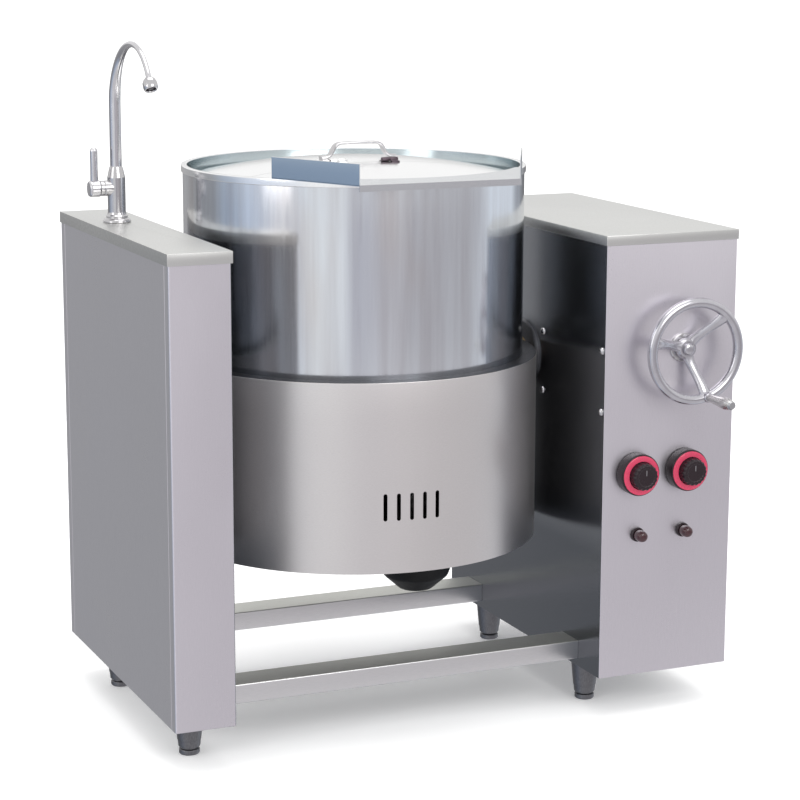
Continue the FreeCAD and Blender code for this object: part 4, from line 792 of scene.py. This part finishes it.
def skirt():
    # Cylinder grid whose columns follow the slots' edges; faces inside a slot are left out.
    low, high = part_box("lower_skirt")
    radius = (high.x - low.x) / 2
    half = skirtSpec["slotWidth"] / 2
    middles = [math.radians(-90 + skirtSpec["centre"] + (n - 2) * skirtSpec["pitch"])
               for n in range(skirtSpec["slots"])]
    across = np.array([-1, -0.92, -0.72, -0.4, 0, 0.4, 0.72, 0.92, 1]) * half
    columns = [(m + a / radius, a) for m in middles for a in across]
    start, end = columns[0][0], columns[-1][0]
    rest = np.linspace(end, start + tau, skirtSpec["columns"])[1:-1]
    angle = np.array([c[0] for c in columns] + list(rest))
    offset = np.array([c[1] for c in columns] + [half] * len(rest))
    bulge = np.sqrt(np.maximum(half ** 2 - offset ** 2, 0))
    z0, z1 = low.z, high.z
    slotLow = skirtSpec["slotBottom"] + half - bulge
    slotHigh = skirtSpec["slotBottom"] + skirtSpec["slotLength"] - half + bulge
    heights = [np.full(len(angle), z0)]
    heights += [z0 + (slotLow - z0) * t for t in (0.5, 1.0)]
    heights += [slotLow + (slotHigh - slotLow) * t for t in (0.33, 0.66, 1.0)]
    edge = skirtSpec["bend"]
    heights += [slotHigh + (z1 - edge - slotHigh) * t for t in (0.33, 0.66, 1.0)]
    heights = np.array(heights)
    radii = np.full(heights.shape, radius)
    bend = np.linspace(0, math.pi / 2, 6)[1:]
    topHeights = z1 - edge + edge * np.sin(bend)
    topRadii = radius - edge + edge * np.cos(bend)
    heights = np.vstack([heights, topHeights[:, None] * np.ones(len(angle)), np.full((1, len(angle)), z1)])
    radii = np.vstack([radii, topRadii[:, None] * np.ones(len(angle)),
                       np.full((1, len(angle)), drumRadius + 0.2 * mm)])
    grid = np.stack([kettleX + radii * np.cos(angle), kettleY + radii * np.sin(angle), heights], -1)
    rows, count = grid.shape[:2]
    index = np.arange(rows * count).reshape(rows, count)
    following = np.roll(index, -1, 1)
    quads = np.stack([index[:-1], following[:-1], following[1:], index[1:]], -1)
    keep = np.ones(quads.shape[:2], bool)
    per = len(across)
    for n in range(skirtSpec["slots"]):
        keep[2:5, n * per:n * per + per - 1] = False
    mesh = bpy.data.meshes.new("Skirt")
    mesh.from_pydata(grid.reshape(-1, 3).tolist(), [], quads[keep].tolist())
    piece = finished("Skirt", mesh)
    thickened(piece, skirtSpec["wall"], -1.0)
    dress(sharpened(piece, 40), "skirtSheet", "kettle", "satin_sheet", "lower_skirt")
    # The skirt's top ledge is painted near black: a painted shadow line where the drum meets it.
    piece.data.materials.append(finishes["shadedLedge"])
    centre, normal = faceData(piece)
    setFaces(piece, (normal[:, 2] > 0.8) & (centre[:, 2] > z1 - 1 * mm), 1)


skirt()

coverSpec = {"count": 96, "flat": 0.26, "waist": 0.62, "shoulder": 0.84, "wall": 3 * mm, "ease": 4 * mm}


def bottomParts():
    # Dished cover: profile of shares of its rim radius, turned about its own axis.
    low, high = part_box("terminal_cover")
    x, y = (low.x + high.x) / 2, (low.y + high.y) / 2
    rim = (high.x - low.x) / 2
    z0, z1 = low.z, high.z
    deep = z1 - z0
    flat, waist, shoulder, wall = (coverSpec[key] for key in ("flat", "waist", "shoulder", "wall"))
    cover = turnedPiece("TerminalCover", [
        (0, z0), (rim * flat, z0), (rim * 0.32, z0 + 2 * mm), (rim * waist, z0 + deep * 0.27),
        (rim * shoulder, z1 - 9 * mm), (rim * 0.86, z1 - 2.5 * mm), (rim, z1 - 2.5 * mm), (rim, z1),
        (rim * 0.82, z1), (rim * 0.58, z0 + deep * 0.29), (rim * 0.29, z0 + wall), (0, z0 + wall)],
        (x, y, 0), count=coverSpec["count"], ease=coverSpec["ease"])
    dress(sharpened(cover, 40), "blackEnamel", "kettle", "black_cover", "terminal_cover")


bottomParts()

lipSpec = {"wall": 2 * mm, "tip": 147 * mm, "root": 235 * mm, "reach": 374 * mm, "rootReach": 201 * mm,
           "shift": 3 * mm, "hem": 9 * mm, "sideShare": 0.34}


def pouringLip():
    # Floor: sheet between the rim's arc and the lip's outline, point = (1 - s) * arc + s * outline. A hem
    # hangs from its tip and an upright wall stands on each splayed side.
    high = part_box("pouring_lip")[1]
    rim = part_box("pan_rim")[1].z
    wall, tip, root, reach, rootReach, shift = (lipSpec[key] for key in (
        "wall", "tip", "root", "reach", "rootReach", "shift"))
    spot = np.array([kettleX + shift, kettleY, 0])
    outer = [(-root, -rootReach), (-tip, -reach), (tip, -reach), (root, -rootReach)]
    early = lipSpec["sideShare"]
    corners = [0, early, 1 - early, 1]
    share = np.concatenate([np.linspace(0, early, 24), np.linspace(early, 1 - early, 30)[1:],
                            np.linspace(1 - early, 1, 24)[1:]])
    line = np.array([np.interp(share, corners, [p[k] for p in outer]) for k in (0, 1)]).T
    first = math.atan2(-rootReach, -root)
    turn = first + (math.atan2(-rootReach, root) - first) * share
    arc = panSpec["step"] * np.column_stack([np.cos(turn), np.sin(turn)])
    steps = np.linspace(0, 1, 7)[:, None, None]
    arc[:, 0] -= shift
    flat = arc * (1 - steps) + line * steps
    grid = np.concatenate([flat, np.full(flat.shape[:2] + (1,), rim + wall)], -1)
    drop = grid[-1][np.abs(grid[-1][:, 0]) <= tip + 1e-6]
    floor = surface("LipFloor", grid + spot)
    thickened(floor, wall, 1.0 if floor.data.polygons[0].normal.z < 0 else -1.0)
    depths = (0, 0.4 * mm, 4 * mm, lipSpec["hem"] + wall)
    hem = surface("LipHem", np.array([drop - (0, 0, d) for d in depths]) + spot)
    thickened(hem, wall, 1.0 if hem.data.polygons[0].normal.y < 0 else -1.0)
    walls = []
    for side in (-1, 1):
        a = np.array([side * tip, -reach])
        b = np.array([side * root, -rootReach])
        along = (b - a) / np.linalg.norm(b - a)
        inward = np.array([-along[1], along[0]])
        if inward[0] * side > 0:
            inward = -inward
        thick = roundedRectangle(wall, high.z - rim, wall * 0.45)
        ends = []
        for end in (a, b):
            flatPart = end + inward * (wall / 2 + thick[:, 0])[:, None]
            ends.append(np.column_stack([flatPart, thick[:, 1] + (high.z + rim) / 2]))
        walls.append(surface(f"ShadedLipWall{side}", np.array(ends) + spot, closeV=True, capStart=True,
                             capEnd=True))
    lip = sharpened(joined("PouringLip", [floor, hem] + walls), 40)
    dress(lip, "lipSheet", "kettle", "bright_sheet", "pouring_lip")
    # Outer faces of the lip's side walls take the darker blue-grey sheet: painted shade.
    lip.data.materials.append(finishes["shadedLipWall"])
    centre, normal = faceData(lip)
    outside = (np.abs(normal[:, 0]) > 0.8) & (normal[:, 0] * (centre[:, 0] - spot[0]) > 0)
    setFaces(lip, outside & (centre[:, 2] > rim), 1)


pouringLip()
print("kettle ready")

lidSpec = {"wall": 2 * mm, "gap": 1.0 * mm, "seam": 75 * mm, "radius": 281 * mm, "edge": 10 * mm,
           "columns": 90, "rows": 61, "bend": 2.4 * mm}
handleSpec = {"foot": 56 * mm, "shoulder": 43 * mm, "toe": 72 * mm, "wide": 17 * mm, "thick": 4.8 * mm,
              "bend": 15 * mm, "corner": 2.0 * mm}
leafSpec = {"edge": 0.4 * mm}


def lidSheet(name, start, end):
    # Dome over a circle cut by a straight seam: x = t*sqrt(R^2 - d^2) at depth d towards the operator,
    # z from the sphere; along the circle the sheet turns down to the seat.
    low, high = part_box("lid_main")
    radius = lidSpec["radius"]
    top, edge, seat = high.z, low.z + lidSpec["edge"], low.z
    rise = top - edge
    crown = (radius ** 2 + rise ** 2) / (2 * rise)
    ease = (1 - np.cos(np.linspace(0, math.pi, lidSpec["columns"]))) / 2
    depth = np.clip(start + (end - start) * ease, -radius + 1e-5, radius - 1e-5)
    t = np.linspace(-1, 1, lidSpec["rows"])
    x = t[:, None] * np.sqrt(radius ** 2 - depth ** 2)[None]
    z = top - crown + np.sqrt(crown ** 2 - depth[None] ** 2 - x ** 2)
    grid = np.stack([x, -depth[None] * np.ones_like(x), z], -1) + np.array([kettleX, kettleY, 0])
    dome = surface(name, grid)
    # The turned-down edge follows the circle alone, from one end of the seam round to the other.
    line = np.concatenate([grid[0][::-1], grid[-1]] if start < 0 else [grid[0], grid[-1][::-1]])
    rows = [line]
    for turn in np.linspace(0, math.pi / 2, 5)[1:]:
        row = line.copy()
        row[:, 2] = line[:, 2] - lidSpec["bend"] * (1 - math.cos(turn)) - 0.2 * mm
        rows.append(row)
    last = line.copy()
    last[:, 2] = seat
    rows.append(last)
    piece = joined(name, [dome, surface(name + "Edge", np.array(rows))])
    work = bmesh.new()
    work.from_mesh(piece.data)
    bmesh.ops.remove_doubles(work, verts=work.verts, dist=1e-5)
    bmesh.ops.recalc_face_normals(work, faces=work.faces)
    highest = max(work.faces, key=lambda f: f.calc_center_median().z)
    if highest.normal.z < 0:
        bmesh.ops.reverse_faces(work, faces=work.faces)
    work.to_mesh(piece.data)
    work.free()
    thickened(piece, lidSpec["wall"], -1.0)
    return sharpened(piece, 40)


def lid():
    # Two sheets of one dome, and a strap handle swept along its bow.
    half = lidSpec["gap"] / 2
    main = lidSheet("LidMain", -lidSpec["radius"], lidSpec["seam"] - half)
    dress(main, "lidSheet", "lid", "bright_sheet", "lid_main")
    flap = lidSheet("LidFlap", lidSpec["seam"] + half, lidSpec["radius"])
    dress(flap, "lidSheet", "flap", "bright_sheet", "lid_flap")
    low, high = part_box("lid_handle")
    x = (low.x + high.x) / 2
    top = high.z - handleSpec["thick"] / 2
    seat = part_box("lid_main")[1].z + handleSpec["thick"] * 0.3
    # Half of the bow from the middle to the toe, mirrored; the corners are eased.
    bow = [(0, top), (handleSpec["shoulder"], top - 1.2 * mm), (handleSpec["foot"] - 3 * mm, seat + 5 * mm),
           (handleSpec["foot"] + 3 * mm, seat), (handleSpec["toe"], seat - 1.0 * mm)]
    outline = [(-px, pz) for px, pz in bow[::-1]] + bow[1:]
    path = np.array([(x + px, kettleY, pz) for px, pz in roundedProfile(outline, handleSpec["bend"], 10)])
    section = roundedRectangle(handleSpec["wide"], handleSpec["thick"], handleSpec["corner"])
    strap = sweptPiece("LidHandle", path, [1.0], section=section)
    dress(sharpened(strap, 50), "chrome", "lid", "chrome", "lid_handle")


def hingeLeaves():
    # The hinge behind the lip's wall is bright, the other one dark.
    for node, name, body in (("lid_hinge_leaves", "LidLeaves", "lid"),
                             ("flap_hinge_leaves", "FlapLeaves", "flap")):
        piece = softened(node, name, leafSpec["edge"])
        dress(piece, "leafSteel", body, "chrome", node)
        piece.data.materials.append(finishes["lidSheet"])
        setFaces(piece, faceData(piece)[0][:, 0] < kettleX, 1)


lid()
hingeLeaves()
print("lid ready")

wheelSpec = {"ring": 87 * mm, "tube": 9 * mm, "offset": 47 * mm, "firstSpoke": -74.0, "hub": 19 * mm,
             "bore": 10.2 * mm, "hubBack": 6 * mm, "spokeLow": 13.5 * mm, "hubFront": 22 * mm,
             "spokeRoot": 12 * mm, "boss": 10 * mm, "bossFront": 13 * mm, "nut": 11 * mm,
             "nutBack": 21.6 * mm, "nutFront": 30 * mm, "flange": 26 * mm, "flangeBore": 10.3 * mm,
             "flangeCollar": 17 * mm}
wheelLow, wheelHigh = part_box("worm_shaft")
wheelX, wheelZ = (wheelLow.x + wheelHigh.x) / 2, (wheelLow.z + wheelHigh.z) / 2


def handwheel():
    # Rim: a torus, point = centre + (R + r*cos v) * radial + r*sin v * axis. Hub, nut, flange and grip are
    # turned about the same axis or beside it, and the spokes are ellipses carried outwards.
    ring, bore, hubWide, back, front = (wheelSpec[key] for key in (
        "ring", "bore", "hub", "hubBack", "hubFront"))
    spot = np.array([wheelX, frontY, wheelZ])
    out = np.array([0, -1.0, 0])
    angle = np.linspace(0, tau, 97)[:-1]
    around = np.linspace(0, tau, 25)[:-1]
    radial = np.stack([np.cos(angle), np.zeros_like(angle), np.sin(angle)], -1)
    tube = wheelSpec["tube"]
    grid = (spot + out * wheelSpec["offset"] + radial[:, None] * (ring + tube * np.cos(around))[None, :, None]
            + out * (tube * np.sin(around))[None, :, None])
    parts = [surface("Rim", grid, closeU=True, closeV=True)]
    parts.append(turnedPiece("Hub", [
        (bore, back), (hubWide - 2 * mm, back), (hubWide, back + 3 * mm), (hubWide + 1 * mm, 15 * mm),
        (hubWide - 3 * mm, front), (bore, front), (bore, back)], spot, out, ease=1.5 * mm))
    for number in range(3):
        turn = math.radians(wheelSpec["firstSpoke"] + 120 * number)
        ahead = np.array([math.cos(turn), 0, math.sin(turn)])
        across = np.array([-math.sin(turn), 0, math.cos(turn)])
        t = np.linspace(0, 1, 22)
        reach = wheelSpec["spokeRoot"] + (ring - wheelSpec["spokeRoot"]) * t
        # Dished spoke: leaves the hub low, sweeps out to the rim plane along a smooth step.
        climb = wheelSpec["offset"] - wheelSpec["spokeLow"]
        lift = wheelSpec["spokeLow"] + climb * (3 * t ** 2 - 2 * t ** 3)
        width = (11.0 - 3.2 * np.sin(math.pi * np.clip(t * 1.05, 0, 1)) + 1.0 * t) * mm
        thick = (8.5 - 2.0 * t) * mm
        turnAround = np.linspace(0, tau, 21)[:-1]
        grid = (spot + ahead * reach[:, None, None] + out * lift[:, None, None]
                + across * (width[:, None] * np.cos(turnAround))[:, :, None]
                + out * (thick[:, None] * np.sin(turnAround))[:, :, None])
        parts.append(surface(f"Spoke{number}", grid, closeV=True, capStart=True, capEnd=True))
    turn = math.radians(wheelSpec["firstSpoke"])
    gripSpot = spot + ring * np.array([math.cos(turn), 0, math.sin(turn)]) + out * wheelSpec["offset"]
    boss, bossFront = wheelSpec["boss"], wheelSpec["bossFront"]
    parts.append(turnedPiece("Boss", [
        (0, 0), (boss, 0), (boss - 1 * mm, 11 * mm), (boss - 2 * mm, bossFront), (0, bossFront)],
        gripSpot, out, count=32, ease=1.5 * mm))
    wheel = joined("Handwheel", parts)
    dress(sharpened(wheel, 45), "castWheel", "drive", "chrome", "handwheel")
    wide, back, front = wheelSpec["nut"], wheelSpec["nutBack"], wheelSpec["nutFront"]
    nut = turnedPiece("WheelNut", [
        (0, back), (wide, back), (wide, back + 4 * mm), (wide - 1.5 * mm, front - 2.2 * mm),
        (wide - 5 * mm, front - 0.6 * mm), (0, front)], spot, out, count=36, ease=1.2 * mm)
    dress(sharpened(nut), "castWheel", "drive", "chrome", "handwheel_nut")
    wide, bore, collar = wheelSpec["flange"], wheelSpec["flangeBore"], wheelSpec["flangeCollar"]
    flange = turnedPiece("ShaftFlange", [
        (bore, 0), (wide, 0), (wide, 3 * mm), (wide - 1.5 * mm, 5 * mm), (collar, 5 * mm),
        (collar - 2 * mm, 4.2 * mm), (bore, 4.2 * mm)], spot, out, ease=0.8 * mm)
    dress(sharpened(flange), "chrome", "base", "chrome", "shaft_flange")
    grip = turnedPiece("Grip", [
        (5.1 * mm, 13.5 * mm), (6.8 * mm, 13.5 * mm), (7.2 * mm, 16.5 * mm), (7.6 * mm, 27 * mm),
        (9.0 * mm, 45 * mm), (10.9 * mm, 64 * mm), (10.6 * mm, 73 * mm), (8.8 * mm, 81 * mm),
        (7.4 * mm, 85.4 * mm), (5.1 * mm, 85.5 * mm)], gripSpot, out, count=48, ease=6 * mm)
    dress(sharpened(grip, 50), "grip", "crank_grip", "grip_metal", "grip")


handwheel()
print("handwheel ready")

knobSpec = {"radius": 38 * mm, "depth": 27 * mm, "cap": 25.5 * mm, "ring": 35.5 * mm, "flutes": 18,
            "fluteShare": 0.028, "capFront": 18 * mm, "markWide": 1.8 * mm, "mark": (3 * mm, 13 * mm)}


def knobs():
    # Turned base, fluted cap and ring for each side, with a raised pointer.
    for side, node in (("Left", "left_knob"), ("Right", "right_knob")):
        low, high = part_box(node)
        spot = np.array([(low.x + high.x) / 2, frontY, (low.z + high.z) / 2])
        out = (0, -1, 0)
        wide, depth, cap, band = (knobSpec[key] for key in ("radius", "depth", "cap", "ring"))
        front = depth + knobSpec["capFront"]

        def fluted(radius, height, angle):
            # r * (1 + s * (cos(n*u) - 1)), fading in over the first 3 mm of the cap.
            grip = np.clip((height - depth) / (3 * mm), 0, 1)
            wave = knobSpec["fluteShare"] * (np.cos(knobSpec["flutes"] * angle) - 1)
            return radius * (1 + wave[None] * grip)

        base = turnedPiece(side + "KnobBase", [
            (3.2 * mm, 0.6 * mm), (wide - 2 * mm, 0.6 * mm), (wide, 3.5 * mm), (wide, depth - 4 * mm),
            (wide - 2 * mm, depth - 2 * mm), (0, depth - 2 * mm)], spot, out, count=96, ease=1.5 * mm)
        top = turnedPiece(side + "KnobCap", [
            (0, depth - 2 * mm), (cap, depth - 2 * mm), (cap, depth + 3 * mm), (cap - 1 * mm, front - 4 * mm),
            (cap - 3.5 * mm, front), (cap - 8 * mm, front), (cap - 9.5 * mm, front - 1 * mm),
            (0, front - 1.4 * mm)], spot, out, count=216, ease=1.6 * mm, wave=fluted)
        knob = joined(side + "Knob", [base, top])
        body = side.lower() + "_dial"
        dress(sharpened(knob, 40), "blackPlastic", body, "knob_plastic", node)
        ring = turnedPiece(side + "Ring", [
            (cap + 0.4 * mm, depth - 2 * mm), (band, depth - 2 * mm), (band, depth - 1 * mm),
            (band - 1.5 * mm, depth), (cap + 0.4 * mm, depth + 1.5 * mm), (cap + 0.4 * mm, depth - 2 * mm)],
            spot, out, count=96, ease=0.3 * mm)
        dress(sharpened(ring), "redRing", body, "ring_red", node + "_ring")
        half, (markLow, markHigh) = knobSpec["markWide"] / 2, knobSpec["mark"]
        mark = roundedBox(side + "Mark", spot + np.array([-half, 0.4 * mm - front, markLow]),
                          spot + np.array([half, 2 * mm - front, markHigh]), 0.5 * mm, 2)
        dress(mark, "pointer", body, "knob_plastic")


lampSpec = {"bezel": 13 * mm, "collar": 7 * mm, "lens": 10.5 * mm, "proud": 29 * mm, "tail": 8 * mm,
            "tailEnd": 26 * mm}


def lamps():
    # Turned bezel and lens for both lamps.
    bezels = []
    lenses = []
    low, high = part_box("lamp_bezels")
    z = (low.z + high.z) / 2
    wide, collar, lens, proud, tail, tailEnd = (lampSpec[key] for key in (
        "bezel", "collar", "lens", "proud", "tail", "tailEnd"))
    for number, x in enumerate((low.x + wide, high.x - wide)):
        spot = (x, frontY, z)
        bezels.append(turnedPiece(f"Bezel{number}", [
            (0, -tailEnd), (tail, -tailEnd), (tail, 0), (wide, 0), (wide, collar - 2 * mm),
            (wide - 1.5 * mm, collar), (lens + 0.4 * mm, collar), (0, collar - 0.4 * mm)], spot, (0, -1, 0),
            count=48, ease=0.6 * mm))
        lenses.append(turnedPiece(f"Lens{number}", [
            (0, collar - 0.2 * mm), (lens - 0.1 * mm, collar - 0.2 * mm), (lens, proud - 9 * mm),
            (lens - 1.8 * mm, proud - 3 * mm), (lens * 0.5, proud - 0.6 * mm), (0, proud)], spot, (0, -1, 0),
            count=48, ease=3.0 * mm))
    dress(sharpened(joined("LampBezels", bezels)), "blackPlastic", "base", "lamp_bezel", "lamp_bezels")
    dress(sharpened(joined("LampLenses", lenses), 50), "lampLens", "base", "lamp_lens", "lamp_lenses")


boltSpec = {"head": 7 * mm, "dome": 5 * mm, "shank": 4 * mm, "depth": 8 * mm}


def bolts():
    # Four dome heads, turned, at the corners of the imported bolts' box.
    low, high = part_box("bracket_bolts")
    head, dome, shank, depth = (boltSpec[key] for key in ("head", "dome", "shank", "depth"))
    parts = []
    for y in (low.y + head, high.y - head):
        for z in (low.z + head, high.z - head):
            parts.append(turnedPiece("Bolt", [
                (0, dome), (3.4 * mm, dome - 0.4 * mm), (head - 1 * mm, 2.8 * mm), (head, 0.6 * mm),
                (head, 0), (shank, 0), (shank, -depth), (0, -depth)], (rightLow[0], y, z), (-1, 0, 0),
                count=32, ease=0.6 * mm))
    dress(sharpened(joined("BracketBolts", parts), 50), "chrome", "base", "chrome", "bracket_bolts")


knobs()
lamps()
bolts()
print("controls ready")

tapSpec = {"foot": 25 * mm, "body": 16 * mm, "neck": 11.2 * mm, "stub": 14 * mm, "stubHeight": 61 * mm,
           "arch": 110 * mm, "crest": 1208 * mm, "end": 31.0, "tubeLow": 10.4 * mm, "tubeHigh": 4.6 * mm,
           "taperFrom": 0.36, "taperSpan": 0.42, "hub": 15 * mm, "hubStart": 31.5 * mm, "hubEnd": 51 * mm,
           "lever": 7.2 * mm, "leverTop": 72 * mm, "nozzle": 12.6 * mm, "nozzleEnd": 22 * mm}


def faucet():
    # Turned body, stub, hub, arm and nozzle; the spout is a tube along a riser and an arc, thinned at its
    # end.
    low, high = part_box("faucet_body")
    spoutLow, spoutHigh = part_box("faucet_spout")
    x = (spoutLow.x + spoutHigh.x) / 2
    y = (low.y + high.y) / 2
    base = low.z
    tall = high.z - low.z
    foot, wide, neck, stubWide = (tapSpec[key] for key in ("foot", "body", "neck", "stub"))
    body = turnedPiece("TapBody", [
        (0, 0), (foot, 0), (foot, 3 * mm), (foot - 2 * mm, 6 * mm), (19 * mm, 8 * mm), (20 * mm, 11 * mm),
        (wide + 1 * mm, 14 * mm), (wide, 18 * mm), (wide, tall - 20 * mm), (wide - 1 * mm, tall - 16 * mm),
        (neck + 1.2 * mm, tall - 4 * mm), (neck, tall), (0, tall)], (x, y, base), count=72, ease=1.2 * mm)
    stubZ = base + tapSpec["stubHeight"]
    stub = turnedPiece("TapStub", [
        (0, 8 * mm), (stubWide, 8 * mm), (stubWide, 22 * mm), (stubWide - 1 * mm, 23 * mm),
        (stubWide, 24 * mm), (stubWide, 31 * mm), (0, 31 * mm)], (x, y, stubZ), (-1, 0, 0), count=48,
        ease=0.6 * mm)
    dress(sharpened(joined("FaucetBody", [body, stub]), 45), "chrome", "base", "chrome", "faucet_body")
    hubWide, hubStart, hubEnd, lever, leverTop = (tapSpec[key] for key in (
        "hub", "hubStart", "hubEnd", "lever", "leverTop"))
    hub = turnedPiece("LeverHub", [
        (0, hubStart), (hubWide, hubStart), (hubWide, hubEnd - 4 * mm), (hubWide - 2 * mm, hubEnd),
        (0, hubEnd)], (x, y, stubZ), (-1, 0, 0), count=48, ease=1.6 * mm)
    arm = turnedPiece("LeverArm", [
        (0, 0), (lever, 0), (lever - 0.6 * mm, 40 * mm), (lever - 0.4 * mm, leverTop - 4 * mm),
        (lever - 2 * mm, leverTop), (0, leverTop)], (x - hubEnd + 10.5 * mm, y, stubZ), count=40,
        ease=2.0 * mm)
    dress(sharpened(joined("FaucetLever", [hub, arm]), 45), "brightChrome", "lever", "chrome", "faucet_lever")
    arch = tapSpec["arch"]
    centreZ = tapSpec["crest"] - arch
    up = np.linspace(base + tall - 20 * mm, centreZ, 30)[:-1]
    turn = np.linspace(0, math.radians(180 - tapSpec["end"]), 64)
    path = np.concatenate([
        np.column_stack([np.full(len(up), x), np.full(len(up), y), up]),
        np.column_stack([np.full(64, x), y - arch + arch * np.cos(turn), centreZ + arch * np.sin(turn)])])
    length = np.concatenate([[0], np.cumsum(np.linalg.norm(np.diff(path, axis=0), axis=1))])
    share = length / length[-1]
    thinned = np.clip((share - tapSpec["taperFrom"]) / tapSpec["taperSpan"], 0, 1)
    radii = tapSpec["tubeLow"] + (tapSpec["tubeHigh"] - tapSpec["tubeLow"]) * thinned
    spout = sweptPiece("FaucetSpout", path, radii, count=36)
    dress(sharpened(spout, 60), "brightChrome", "spout", "chrome", "faucet_spout")
    wide, end = tapSpec["nozzle"], tapSpec["nozzleEnd"]
    nozzle = turnedPiece("SpoutNozzle", [
        (4.4 * mm, -2 * mm), (7 * mm, -1 * mm), (10.5 * mm, 3 * mm), (wide, 8 * mm), (wide, end - 5 * mm),
        (11 * mm, end - 0.6 * mm), (9 * mm, end), (8 * mm, end - 2 * mm), (8 * mm, 10 * mm), (0, 9.5 * mm)],
        path[-1], path[-1] - path[-2], count=48, ease=1.2 * mm)
    dress(sharpened(nozzle, 45), "chrome", "spout", "chrome", "spout_nozzle")


faucet()
print("faucet ready")

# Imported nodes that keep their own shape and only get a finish.
keptFinish = {
    "plainSteel": ["left_base_tray", "right_base_tray", "bearing_posts", "jacket_shell", "element_flange",
                   "heating_elements", "gear_bracket", "left_trunnion", "right_trunnion", "worm_shaft",
                   "grip_spindle", "shaft_collars", "safety_valve", "worm", "bottom_plate"],
    "castIron": ["worm_bearings"],
    "footSteel": ["left_bearing", "right_bearing"],
    "leafSteel": ["lid_hinge_pins"],
    "bronze": ["trunnion_bushes", "worm_wheel"],
    "blackPlastic": ["switch_bodies", "cable_gland"],
    "wool": ["insulation"],
    "brass": ["faucet_tail"],
}


def finishKept():
    # Every slot of these nodes takes the finish.
    for finish, names in keptFinish.items():
        for name in names:
            data = nodes[name].data
            if not data.materials:
                data.materials.append(None)
            for number in range(len(data.materials)):
                data.materials[number] = finishes[finish]


finishKept()
print("pieces ready")
